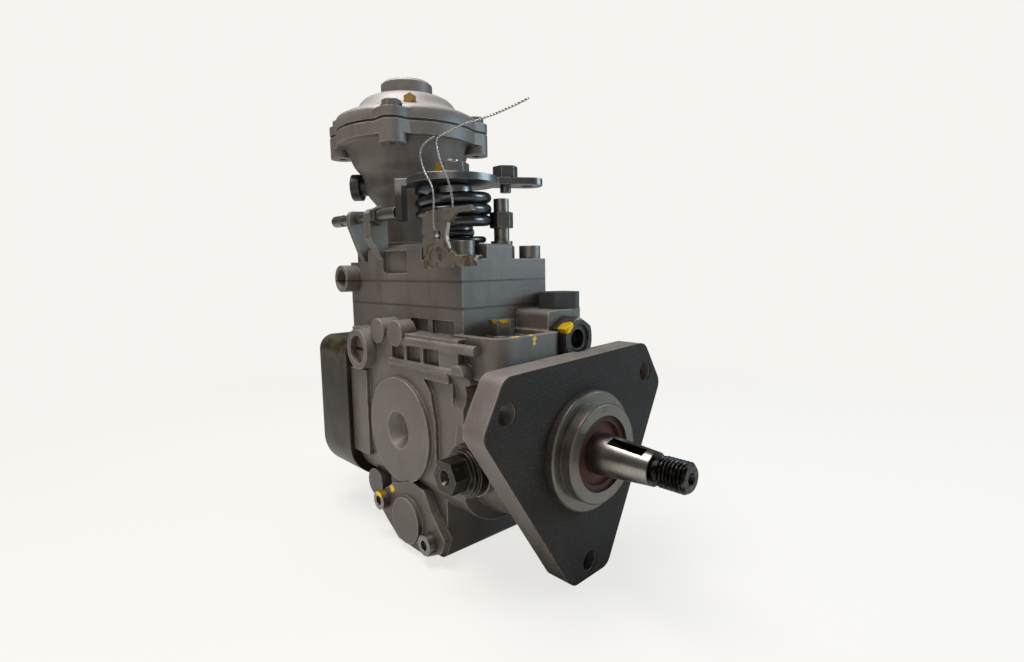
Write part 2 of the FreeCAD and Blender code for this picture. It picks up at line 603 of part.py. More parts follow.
def governor():
    centre = Vector(0, GOVERNOR_Y, GOVERNOR_Z)
    phase = mesh_angle() + 180.0 + 180.0 / GOVERNOR_TEETH
    wheel = gear(GOVERNOR_TEETH, GOVERNOR_SHAFT_R + RUN, GEAR_REAR, GEAR_FRONT, phase)
    bore = cyl_x(GOVERNOR_SHAFT_R + RUN, -90, -40)
    web = cyl_x(CAGE_R, GEAR_REAR - 2.0, GEAR_REAR).cut(bore)
    cage = [wheel, web]
    for i in range(4):
        post = box(WEIGHT_PIVOT_X - 4.0, GEAR_REAR - 2.0, 11.0, CAGE_R, -2.0, 2.0)
        cage.append(turned(post, 45 + 90 * i, Vector(0, 0, 0), X_AXIS))
    cage = joined(cage)
    trunnions = []
    weights = []
    for i in range(4):
        bar = Part.makeCylinder(1.2, 23.0, Vector(WEIGHT_PIVOT_X, WEIGHT_PIVOT_R, -11.5), Z_AXIS)
        hole = Part.makeCylinder(1.2 + RUN, 24.0, Vector(WEIGHT_PIVOT_X, WEIGHT_PIVOT_R, -12.0), Z_AXIS)
        cage = cage.cut(turned(hole, 90 * i, Vector(0, 0, 0), X_AXIS))
        block = box(WEIGHT_REAR, WEIGHT_PIVOT_X + 1.8, WEIGHT_IN_R, WEIGHT_OUT_R, -6.5, 6.5)
        block = rounded(block, 2.0, lambda c, e: along(e, Z_AXIS))
        toe = box(TOE_REAR, TOE_REAR + 2.6, TOE_R, WEIGHT_IN_R + 1, -3.0, 3.0)
        weight = joined([block, toe, bar])
        weights.append(turned(weight, 90 * i, Vector(0, 0, 0), X_AXIS))
    cage.translate(centre)
    save("flyweight_cage", cage)
    for i, weight in enumerate(weights):
        weight.translate(centre)
        save("flyweight_%d" % (i + 1), weight)
    sleeve = revolve_x([(SLEEVE_REAR, 0), (SLEEVE_REAR, 1.0), (SLEEVE_REAR + 2.4, SLEEVE_R),
                        (TOE_REAR - GAP - 2.0, SLEEVE_R), (TOE_REAR - GAP - 2.0, 8.8), (TOE_REAR - GAP, 8.8),
                        (TOE_REAR - GAP, 0)])
    sleeve = sleeve.cut(cyl_x(GOVERNOR_SHAFT_R + RUN, SLEEVE_REAR + 4.2, -40))
    sleeve.translate(centre)
    save("governor_sleeve", sleeve)
    shaft = revolve_x([(-85.5, 0), (-85.5, GOVERNOR_SHAFT_R - 0.6), (-84.9, GOVERNOR_SHAFT_R),
                       (GEAR_FRONT + 0.3, GOVERNOR_SHAFT_R), (GEAR_FRONT + 0.3, 6.6), (NUT_FACE - 1.0, 6.6),
                       (NUT_FACE - 1.0, SOCKET_R), (NUT_FACE - 6.0, SOCKET_R), (NUT_FACE - 6.0, 0)])
    shaft.translate(centre)
    nut = hexagon(NUT_AF, 8.8, Vector(NUT_FACE - 8.8, GOVERNOR_Y, GOVERNOR_Z), X_AXIS)
    nut = nut.common(revolve_x([(NUT_FACE - 9, 0), (NUT_FACE - 9, 10.5), (NUT_FACE - 1.0, 10.5), (NUT_FACE, 8.6),
                                (NUT_FACE, 0)], GOVERNOR_Y, GOVERNOR_Z))
    nut = nut.cut(cyl_x(6.6, -30, -5, GOVERNOR_Y, GOVERNOR_Z))
    save("governor_shaft", shaft, nut)


def claw_cross():
    disc = cyl_x(CLAW_OUT, CLAW_END, CLAW_FLANGE_REAR - GAP)
    room = CLAW_HALF + GAP
    inner = math.sqrt(CLAW_IN ** 2 - CLAW_HALF ** 2) - GAP
    keep_out = [box(-80, -50, side * inner, side * 20, -room, room) for side in (-1, 1)]
    keep_out += [box(-80, -50, -room, room, side * inner, side * 20) for side in (-1, 1)]
    save("cross_disc", disc.cut(keep_out))


def cam_plate():
    disc = cyl_x(CAM_R, CAM_REAR, CAM_PEAK - CAM_LIFT)
    track = cyl_x(CAM_R, CAM_REAR, CAM_PEAK + 1).cut(cyl_x(ROLLER_IN - 1.0, CAM_REAR - 1, CAM_PEAK + 2))
    lobes = []
    for i in range(LOBE_COUNT):
        roll = Part.makeCylinder(LOBE_R, 40.0, Vector(CAM_PEAK - LOBE_R, 0, 0), Y_AXIS)
        roll = turned(roll, 360.0 / LOBE_COUNT * i, Vector(0, 0, 0), X_AXIS)
        lobes.append(roll.common(track))
    ring = cyl_x(CLAW_OUT, -84, CAM_PEAK - CAM_LIFT).cut(cyl_x(CLAW_IN, -90, -60))
    claw_ring = cyl_x(CLAW_OUT, CLAW_FLANGE_REAR - 1.0, -84).cut(cyl_x(CLAW_IN, -90, -60))
    claws = claw_ring.common(box(-90, -50, -CLAW_HALF, CLAW_HALF, -20, 20))
    shape = joined([disc, ring] + claws.Solids + lobes)
    recess = cyl_x(FOOT_R, CAM_REAR - 1, CAM_REAR + 3.0)
    save("cam_plate", shape.cut(recess))


def plunger():
    foot = cyl_x(FOOT_R, FOOT_REAR, CAM_REAR + 3.0)
    stem = cyl_x(PLUNGER_R, PLUNGER_END, FOOT_REAR)
    bore = cyl_x(1.2, PLUNGER_END - 1, -106)
    spill = cyl_z(1.2, -8, 8, -109, 0)
    groove = cyl_x(PLUNGER_R + 1, PLUNGER_END + 3, PLUNGER_END + 12).cut(cyl_x(PLUNGER_R - 0.6, -160, -100))
    groove = groove.common(box(-160, -100, 3.5, 10, -2, 2))
    shape = joined([foot, stem]).cut([bore, spill, groove])
    save("plunger", shape)


def plunger_springs():
    bridge = box(FOOT_REAR - GAP - BRIDGE_T, FOOT_REAR - GAP, -26, 26, -8, 8)
    bridge = rounded(bridge, 5.0, lambda c, e: along(e, X_AXIS))
    holes = [cyl_x(PLUNGER_R + GAP, -110, -90)]
    holes += [cyl_x(2.8, -110, -90, side * SPRING_SIDE_Y, 0) for side in (-1, 1)]
    save("spring_bridge", bridge.cut(holes))
    start = FOOT_REAR - GAP - BRIDGE_T
    coils = [spring(4.6, 0.8, 4, Vector(start, side * SPRING_SIDE_Y, 0), Vector(-1, 0, 0), start - SPIGOT_FRONT)
             for side in (-1, 1)]
    save("plunger_springs", *coils)


def roller_ring():
    ring = cyl_x(RING_R, RING_REAR, RING_FRONT).cut(cyl_x(RING_BORE_R, -90, -60))
    pins = []
    for i in range(4):
        angle = 45 + 90 * i
        room = ROLLER_R + GAP
        pocket = box(RING_REAR - 1, ROLLER_X + room, ROLLER_IN - GAP, ROLLER_OUT + GAP, -room, room)
        pin = Part.makeCylinder(ROLLER_PIN_R, 12.0, Vector(ROLLER_X, 18.0, 0), Y_AXIS)
        ring = ring.cut([turned(pocket, angle, Vector(0, 0, 0), X_AXIS), turned(pin, angle, Vector(0, 0, 0), X_AXIS)])
        pins.append(turned(pin, angle, Vector(0, 0, 0), X_AXIS))
        roller = Part.makeCylinder(ROLLER_R, ROLLER_OUT - ROLLER_IN, Vector(ROLLER_X, ROLLER_IN, 0), Y_AXIS)
        roller = roller.cut(Part.makeCylinder(ROLLER_PIN_R + RUN, 30.0, Vector(ROLLER_X, 10.0, 0), Y_AXIS))
        save("roller_%d" % (i + 1), turned(roller, angle, Vector(0, 0, 0), X_AXIS))
    timing_pin = cyl_z(TIMER_PIN_R, TIMER_Z, -28.0, TIMER_X, 0)
    weight_room = cyl_x(WEIGHT_SWING_R, WEIGHT_REAR - 0.7, RING_FRONT + 1, GOVERNOR_Y, GOVERNOR_Z)
    turns = [turned(weight_room, ADVANCE_ANGLE * i / 3.0, Vector(0, 0, 0), X_AXIS) for i in range(4)]
    ring = ring.cut([timing_pin] + turns)
    save("roller_ring", ring, timing_pin, *pins)


def control_collar():
    collar = cyl_x(COLLAR_R, COLLAR_REAR, COLLAR_FRONT).cut(cyl_x(PLUNGER_R + RUN, -120, -100))
    collar = collar.cut(cyl_z(BALL_R + GAP, 8.0, 20.0, LEVER_PIN_X, 0))
    save("control_collar", collar)


def governor_levers():
    cheeks = []
    pin_hole = cyl_y(LEVER_PIN_R, -20, 20, LEVER_PIN_X, LEVER_PIN_Z)
    screw_hole = cyl_y(SCREW_R, -20, 20, PIVOT_SCREW_X, PIVOT_SCREW_Z)
    for side in (-1, 1):
        plate = box(-114, -104.5, side * CHEEK_Y, side * (CHEEK_Y + CHEEK_T), 19.5, 41.0)
        cheeks.append(rounded(plate, 3.0, lambda c, e: along(e, Y_AXIS)))
    back = box(-116, -114, -CHEEK_Y - CHEEK_T, CHEEK_Y + CHEEK_T, 32, 41)
    bracket = joined(cheeks + [back]).cut([pin_hole, screw_hole])
    pin = cyl_y(LEVER_PIN_R, -CHEEK_Y - CHEEK_T, CHEEK_Y + CHEEK_T, LEVER_PIN_X, LEVER_PIN_Z)
    save("lever_bracket", bracket, pin)
    hub_hole = cyl_y(LEVER_PIN_R + RUN, -20, 20, LEVER_PIN_X, LEVER_PIN_Z)
    ear = [(-112.5, 23), (-106, 20.2), (-97.5, 31.0), (-97.5, 40.0), (-99.2, 40.0), (-99.2, 34.0)]
    tube = cyl_y(4.3, -6, 6, LEVER_PIN_X, LEVER_PIN_Z)
    start_ears = [prism_y(ear, y, y + 2) for y in (-6, 4)]
    start_link = box(-99.0, -96.0, -6, 6, 34.0, 40.0)
    start_plate = box(-96.0, -94.0, -6, 17, 33.0, 50.0)
    start_plate = rounded(start_plate, 3.0, lambda c, e: along(e, X_AXIS))
    ball_arm = box(LEVER_PIN_X - 1.4, LEVER_PIN_X + 1.4, -1.4, 1.4, BALL_Z, LEVER_PIN_Z)
    ball = Part.makeSphere(BALL_R, Vector(LEVER_PIN_X, 0, BALL_Z))
    start = joined([tube] + start_ears + [start_link, start_plate, ball_arm, ball]).cut(hub_hole)
    rings = [cyl_y(4.3, y, y + 2, LEVER_PIN_X, LEVER_PIN_Z) for y in (-11.5, 9.5)]
    wide_ear = [(-112.5, 23), (-106, 20.2), (-99.5, 31.0), (-99.5, 42.0), (-102.5, 42.0)]
    ears = [prism_y(wide_ear, y, y + 2) for y in (-11.5, 9.5)]
    tall = prism_x([(-11.5, 38), (11.5, 38), (11.5, 52), (5, 70), (-5, 70), (-11.5, 52)], -102.0, -99.5)
    tall = tall.cut(cyl_x(2.2, -110, -90, 0, 65))
    tension = joined(rings + ears + [tall]).cut(hub_hole)
    stop_button = cyl_x(2.5, -99.5, -96.0, 0, 46)
    tension = joined([tension, stop_button])
    save("governor_levers", start, tension)
    screws = []
    for side in (-1, 1):
        head = cyl_y(6.5, side * PIVOT_SEAT, side * 41.5, PIVOT_SCREW_X, PIVOT_SCREW_Z)
        slot = box(PIVOT_SCREW_X - 7, PIVOT_SCREW_X + 7, side * 40.4, side * 43, PIVOT_SCREW_Z - 0.9,
                   PIVOT_SCREW_Z + 0.9)
        shank = cyl_y(SCREW_R, side * CHEEK_Y, side * PIVOT_SEAT, PIVOT_SCREW_X, PIVOT_SCREW_Z)
        screws.append(joined([head, shank]).cut(slot))
    save("pivot_screws", *screws)
    hook = Vector(-99.3, 0, 65.0)
    direction = Vector(LEVER_X - CRANK_R - 2.0, LEVER_Y, 67.0) - hook
    coil = spring(4.4, 0.7, 7, hook, direction, direction.Length - 1.0)
    save("governor_spring", coil)


def advance_unit():
    piston = cyl_y(TIMER_R, -PISTON_HALF, PISTON_HALF, TIMER_X, TIMER_Z)
    slot = box(TIMER_X - TIMER_PIN_R - GAP, TIMER_X + TIMER_PIN_R + GAP, -6.5, 6.5, TIMER_Z - 2.0, TIMER_Z + 15)
    spring_well = cyl_y(7.0, -PISTON_HALF - 1, -PISTON_HALF + 6, TIMER_X, TIMER_Z)
    save("timing_piston", piston.cut([slot, spring_well]))
    start = -PISTON_HALF + 6.0
    end = -TIMER_HALF_Y - TIMER_GASKET_T
    save("timing_spring", spring(5.6, 0.8, 5, Vector(TIMER_X, start, TIMER_Z), Vector(0, -1, 0), start - end))
    covers = []
    sheets = []
    screws = []
    points = timer_outline(1.0)
    for side in (-1, 1):
        face = side * TIMER_HALF_Y
        gasket_face = face + side * TIMER_GASKET_T
        cover_face = gasket_face + side * TIMER_COVER_T
        boss_face = gasket_face + side * TIMER_BOSS_T
        sheet = prism_y(points, face, gasket_face)
        plate = prism_y(points, gasket_face, cover_face)
        plate = rounded(plate, 1.5, lambda c, e: along(e, Y_AXIS))
        boss = cyl_y(11.0, gasket_face, boss_face, TIMER_X, TIMER_Z)
        holes = []
        for dx, dz in TIMER_SCREWS:
            x = TIMER_X + dx
            z = TIMER_Z + dz
            holes.append(cyl_y(2.5, side * 20, side * 60, x, z))
            shank = cyl_y(2.5, side * 28, cover_face, x, z)
            head = cyl_y(4.6, cover_face, cover_face + side * 4.0, x, z)
            socket = cyl_y(2.4, cover_face + side * 1.8, cover_face + side * 6.0, x, z)
            screws.append(joined([shank, head]).cut(socket))
        sheets.append(sheet.cut(holes + [cyl_y(TIMER_R, side * 20, side * 60, TIMER_X, TIMER_Z)]))
        covers.append(joined([plate, boss]).cut(holes))
    save("timer_gaskets", *sheets)
    save("timer_covers", *covers)
    save("timer_screws", *screws)


def governor_casing():
    inside_front = CHAMBER_FRONT
    inside = [(inside_front, NECK_LEFT + COVER_WALL), (inside_front, CHAMFER_Y + 2), (CHAMFER_X - 3, 30.0),
              (-125, 30.0), (-125, 20), (COVER_INSIDE_REAR, 20), (COVER_INSIDE_REAR, -18), (-125, -18),
              (-125, NECK_LEFT + COVER_WALL)]
    cavity = prism_z(inside, COVER_SPLIT - 1, SPACER_TOP + 1)
    spacer = cover_outline(COVER_SPLIT, SPACER_TOP)
    spacer = spacer.cut([cavity] + cover_screw_holes(COVER_SPLIT - 1, SPACER_TOP + 1))
    save("governor_spacer", spacer)
    rim = cover_outline(SPACER_TOP, COVER_RIM)
    roof = box(-128, -66, -27, 22, COVER_RIM - 1, COVER_ROOF)
    roof = rounded(roof, 4.0, lambda c, e: c.z > COVER_ROOF - 0.1 or along(e, Z_AXIS))
    lever_boss = cyl_z(11.0, COVER_RIM - 2, LEVER_BOSS_TOP + 2.0, LEVER_X, LEVER_Y)
    foot = cyl_z(17.0, COVER_RIM - 2, COVER_ROOF + 2.0, BOOST_X, BOOST_Y)
    return_boss = cyl_y(RETURN_BOSS_R, RETURN_FACE, NECK_LEFT, RETURN_X, RETURN_Z)
    return_web = box(RETURN_X - 4, RETURN_X + 4, NECK_LEFT, NECK_LEFT + 2, SPACER_TOP, COVER_RIM)
    side_wall = box(SIDE_WALL_REAR, SIDE_WALL_FRONT, NECK_LEFT, -24.0, COVER_RIM - 3, SIDE_WALL_TOP)
    side_wall = rounded(side_wall, 2.0, lambda c, e: c.z > SIDE_WALL_TOP - 0.1)
    block = prism_z(list(FRONT_BLOCK), COVER_RIM - 3, SIDE_WALL_TOP)
    block = rounded(block, 1.5, lambda c, e: c.z > SIDE_WALL_TOP - 0.1 and c.x > -60)
    lug = prism_x([(-37.0, 90.0), (-37.0, 102.5), (-35.0, 104.5), (-30.0, 105.0), (-27.5, 103.5), (-27.5, 80.0),
                   (NECK_LEFT, 80.0)], LUG_FRONT - LUG_T, LUG_FRONT)
    rear_lug = prism_x([(-38.0, 97.0), (-38.0, 103.0), (-36.5, 104.5), (-26.5, 105.0), (-25.0, 103.5), (-25.0, 78.0),
                        (NECK_LEFT, 78.0), (-33.0, 84.0)], REAR_LUG_FRONT - REAR_LUG_T, REAR_LUG_FRONT)
    cover = joined([rim, roof, lever_boss, foot, return_boss, return_web, side_wall, block, lug, rear_lug])
    upper = prism_z(inside, SPACER_TOP - 1, COVER_RIM - 4.0)
    high = box(-130, -96, -18, 18, COVER_RIM - 5, COVER_ROOF - 4)
    shaft_hole = cyl_z(LEVER_SHAFT_R + RUN, COVER_RIM - 6, LEVER_BOSS_TOP + 3, LEVER_X, LEVER_Y)
    pin_hole = cyl_z(BOOST_PIN_R + RUN, COVER_ROOF - 6, COVER_ROOF + 3, BOOST_X, BOOST_Y)
    cuts = [upper, high, shaft_hole, pin_hole] + cover_screw_holes(SPACER_TOP - 1, COVER_RIM + 1)
    cuts += [cyl_z(SCREW_HEAD_R + GAP, COVER_RIM, COVER_ROOF + 1, x, y) for x, y in COVER_SCREWS]
    cuts.append(cyl_x(IDLE_SCREW_R, -130, -100, IDLE_SCREW_Y, IDLE_SCREW_Z))
    x0, x1, z0, z1 = SIDE_WALL_POCKET
    pocket = box(x0, x1, NECK_LEFT - 5, NECK_LEFT + SIDE_WALL_POCKET_DEPTH, z0, z1)
    cuts.append(rounded(pocket, 2.0, lambda c, e: along(e, Y_AXIS)))
    cuts.append(cyl_y(RETURN_BORE_R, RETURN_FACE - 1, NECK_LEFT - 0.5, RETURN_X, RETURN_Z))
    cover = cover.cut(cuts)
    save("governor_cover", cover)


def socket_screws():
    screws = []
    for x, y in COVER_SCREWS:
        seat = COVER_RIM + (TAG_T if (x, y) == COVER_SCREWS[0] else 0.0)
        shank = cyl_z(SCREW_R, COVER_SPLIT - COVER_THREAD, seat, x, y)
        head = cyl_z(SCREW_HEAD_R, seat, seat + SCREW_HEAD_H, x, y)
        socket = hexagon(5.0, 4.0, Vector(x, y, seat + SCREW_HEAD_H - 3.0), Z_AXIS)
        screws.append(joined([shank, head]).cut(socket))
    for y, z in HEAD_SCREWS:
        shank = cyl_x(SCREW_R, BODY_REAR + 12, HEAD_REAR, y, z)
        head = cyl_x(SCREW_HEAD_R, HEAD_REAR, HEAD_REAR - SCREW_HEAD_H, y, z)
        socket = hexagon(5.0, 4.0, Vector(HEAD_REAR - SCREW_HEAD_H + 3.0, y, z), Vector(-1, 0, 0))
        screws.append(joined([shank, head]).cut(socket))
    save("socket_screws", *screws)


def distributor_head():
    block = box(HEAD_REAR, BODY_REAR, -HEAD_HALF_Y, HEAD_HALF_Y, HEAD_BOTTOM, HEAD_TOP)
    block = rounded(block, 20.0, lambda c, e: along(e, X_AXIS) and c.z < 0)
    block = rounded(block, 8.0, lambda c, e: along(e, X_AXIS) and c.z > HEAD_TOP - 1)
    spigot = cyl_x(SPIGOT_R, BODY_REAR, SPIGOT_FRONT)
    guides = [cyl_x(2.2, SPIGOT_FRONT, SPIGOT_FRONT + 11.5, side * SPRING_SIDE_Y, 0) for side in (-1, 1)]
    shape = joined([block, spigot] + guides)
    cuts = [cyl_x(PLUNGER_R + RUN, HEAD_REAR - 1, SPIGOT_FRONT + 1)]
    cuts.append(cyl_x(9.0, HEAD_REAR - 1, HEAD_REAR + PLUG_SEAT))
    cuts += [cyl_x(SCREW_R, HEAD_REAR - 1, BODY_REAR + 1, y, z) for y, z in HEAD_SCREWS]
    for y, z in outlets():
        cuts.append(cyl_x(HOLDER_SEAT_R, HEAD_REAR - 1, HEAD_REAR + 9.0, y, z))
        cuts.append(cyl_x(1.0, HEAD_REAR + 8.0, HEAD_REAR + 14.0, y, z))
    cuts.append(cyl_z(6.0, HEAD_TOP - 6.0, HEAD_TOP + 1, SOLENOID_X, SOLENOID_Y))
    save("distributor_head", shape.cut(cuts))
    plug = joined([cyl_x(9.0, HEAD_REAR, HEAD_REAR + PLUG_SEAT), hexagon(17.0, 6.0, Vector(HEAD_REAR - 6.0, 0, 0),
                                                                           X_AXIS)])
    bleed = hexagon(8.0, 4.0, Vector(HEAD_REAR - 10.0, 0, 0), X_AXIS)
    save("centre_plug", joined([plug, bleed]))


def outlets():
    return [(sy * OUTLET_OFFSET, sz * OUTLET_OFFSET) for sy in (-1, 1) for sz in (-1, 1)]


def delivery_valves():
    holders = []
    valves = []
    for y, z in outlets():
        nut_end = HEAD_REAR - HOLDER_NUT_END
        outline = [(HEAD_REAR + 6.0, 0), (HEAD_REAR + 6.0, HOLDER_SEAT_R), (HEAD_REAR, HOLDER_SEAT_R),
                   (HEAD_REAR, 7.6), (HEAD_REAR - 2.0, 7.6), (HEAD_REAR - 2.0, HOLDER_SEAT_R),
                   (nut_end, HOLDER_SEAT_R), (nut_end, OUTLET_R), (HEAD_REAR - OUTLET_LENGTH + 1, OUTLET_R),
                   (HEAD_REAR - OUTLET_LENGTH, OUTLET_R - 0.8), (HEAD_REAR - OUTLET_LENGTH, 0)]
        body = revolve_x(outline, y, z)
        nut = hexagon(14.0, 8.0, Vector(nut_end, y, z), X_AXIS)
        bore = cyl_x(1.2, HEAD_REAR - OUTLET_LENGTH - 1, HEAD_REAR - 10, y, z)
        room = cyl_x(4.0, HEAD_REAR - 12.0, HEAD_REAR + 6.0, y, z)
        holders.append(joined([body, nut]).cut([bore, room]))
        stem = cyl_x(2.2, HEAD_REAR + 1.0, HEAD_REAR + 8.5, y, z)
        piston = cyl_x(3.6, HEAD_REAR - 4.0, HEAD_REAR + 1.0, y, z)
        valves.append(joined([stem, piston]))
    save("delivery_valve_holders", *holders)
    save("delivery_valves", *valves)


def solenoid():
    body = cyl_z(6.0, HEAD_TOP - 6.0, HEAD_TOP, SOLENOID_X, SOLENOID_Y)
    hexed = hexagon(13.5, 6.0, Vector(SOLENOID_X, SOLENOID_Y, HEAD_TOP), Z_AXIS)
    can = cyl_z(7.0, HEAD_TOP + 6.0, HEAD_TOP + 26.0, SOLENOID_X, SOLENOID_Y)
    stud = cyl_z(2.0, HEAD_TOP + 26.0, HEAD_TOP + 34.0, SOLENOID_X, SOLENOID_Y)
    room = cyl_z(3.0 + RUN, HEAD_TOP - 7.0, HEAD_TOP + 12.0, SOLENOID_X, SOLENOID_Y)
    save("solenoid_body", joined([body, hexed, can, stud]).cut(room))
    save("solenoid_plunger", cyl_z(3.0, HEAD_TOP - 5.6, HEAD_TOP + 8.5, SOLENOID_X, SOLENOID_Y))


def boost_screw_places():
    offsets = [polar(BOOST_SCREW_CIRCLE_R, 45 + 90 * i) for i in range(4)]
    return [(BOOST_X + dx, BOOST_Y + dy) for dx, dy in offsets]


def boost_plate(z0, z1, radius, lobe_r):
    """Round plate whose rim runs out into a lobe at each screw."""
    half = BOOST_SCREW_CIRCLE_R * math.sqrt(0.5) + lobe_r
    square = box(BOOST_X - half, BOOST_X + half, BOOST_Y - half, BOOST_Y + half, z0, z1)
    square = rounded(square, lobe_r, lambda c, e: along(e, Z_AXIS))
    return joined([cyl_z(radius, z0, z1, BOOST_X, BOOST_Y), square])


def boost_compensator():
    top = DIAPHRAGM_Z
    wall = 3.0
    places = boost_screw_places()
    flange_under = top - BOOST_FLANGE_T
    bowl_line = [(15.0, COVER_ROOF + 2.0), (14.8, 96.0), (15.8, 104.0), (18.6, 109.6), (21.9, 113.7), (23.5, 118.0),
                 (23.8, 121.0), (25.2, 124.6), (28.3, 128.2), (30.2, 132.0), (31.4, 135.5), (33.0, flange_under)]
    outer = revolve_z_curve(bowl_line, [(33.0, top), (0, top), (0, COVER_ROOF + 2.0)], BOOST_X, BOOST_Y)
    inner = [(0, 116.0), (17.0, 116.0), (22.0, 126.5), (28.5, 137.5), (31.0, top - 5.0), (31.0, top + 1.0),
             (0, top + 1.0)]
    screw_holes = [cyl_z(2.0, top - 15, top + 15, x, y) for x, y in places]
    bosses = [cyl_z(BOOST_LOBE_R, flange_under - BOOST_BOSS_T, flange_under, x, y) for x, y in places]
    bowl = joined([outer, boost_plate(flange_under, top, BOOST_FLANGE_R, BOOST_LOBE_R)] + bosses)
    bore = cyl_z(BOOST_PIN_R + RUN, 80, 120, BOOST_X, BOOST_Y)
    bowl = bowl.cut([revolve_z(inner, BOOST_X, BOOST_Y), bore] + screw_holes)
    save("boost_housing", bowl)
    diaphragm = boost_plate(top, top + DIAPHRAGM_T, BOOST_FLANGE_R - 0.3, BOOST_LOBE_R - 0.4)
    diaphragm = diaphragm.cut([cyl_z(6.2, top - 1, top + 3, BOOST_X, BOOST_Y)] + screw_holes)
    save("boost_diaphragm", diaphragm)
    base = top + DIAPHRAGM_T
    lobe_top = base + 4.5
    dome_line = [(BOOST_FLANGE_R, lobe_top), (36.0, base + 7.4), (31.0, base + 9.2), (27.9, base + 10.8),
                 (26.2, base + 13.6), (24.4, base + 17.0), (20.8, base + 19.8), (16.5, base + 20.9),
                 (BOOST_CAP_R, base + 21.0)]
    cap = [(BOOST_CAP_R, BOOST_TOP - 1.5), (BOOST_CAP_R - 1.5, BOOST_TOP), (0, BOOST_TOP), (0, base),
           (BOOST_FLANGE_R, base)]
    dome = revolve_z_curve(dome_line, cap, BOOST_X, BOOST_Y)
    hollow = [(0, base - 1), (31.0, base - 1), (31.0, base + 2.0), (23.0, base + 8.5), (11.0, base + 15.0),
              (11.0, BOOST_TOP - wall), (0, BOOST_TOP - wall)]
    lid = joined([dome, boost_plate(base, lobe_top, BOOST_FLANGE_R, BOOST_LOBE_R)])
    seats = [cyl_z(5.2, lobe_top, base + 20, x, y) for x, y in places]
    lid = lid.cut([revolve_z(hollow, BOOST_X, BOOST_Y)] + screw_holes + seats)
    save("boost_cover", lid)
    screws = []
    for x, y in places:
        shank = cyl_z(2.0, flange_under, lobe_top, x, y)
        head = hexagon(8.0, 3.6, Vector(x, y, lobe_top), Z_AXIS)
        screws.append(joined([shank, head]))
    save("boost_screws", *screws)
    pin = revolve_z([(0, 82.0), (2.6, 82.0), (BOOST_PIN_R, 96.0), (BOOST_PIN_R, 141.0), (22.0, 143.0),
                     (22.0, top - 0.2), (6.0, top - 0.2), (6.0, base + 0.2), (22.0, base + 0.2),
                     (22.0, base + 2.2), (8.0, base + 2.2), (6.0, base + 5.0), (0, base + 5.0)], BOOST_X, BOOST_Y)
    save("boost_pin", pin)
    coil = spring(9.0, 0.9, 5, Vector(BOOST_X, BOOST_Y, 116.0), Z_AXIS, 25.2)
    save("boost_spring", coil)
    axis = Vector(BOOST_X, BOOST_Y, 0)
    near = Vector(0.78, -0.51, 0.36)
    vent_base = axis + Vector(0, 0, base + 13.0) + near * 12.0
    vent = joined([Part.makeCylinder(VENT_R - 0.6, 14.0, vent_base, near),
                   hexagon(2 * VENT_R, 3.0, vent_base + near * 13.0, near)])
    side = Vector(-0.72, -0.69, 0)
    plug_base = axis + Vector(0, 0, BOOST_PLUG_Z)
    plug = joined([Part.makeCylinder(4.5, 10.0, plug_base + side * 20.0, side),
                   Part.makeCylinder(BOOST_PLUG_R, 4.7, plug_base + side * (BOOST_PLUG_OUT - 4.7), side)])
    save("boost_fittings", vent.cut(dome), plug.cut(outer))


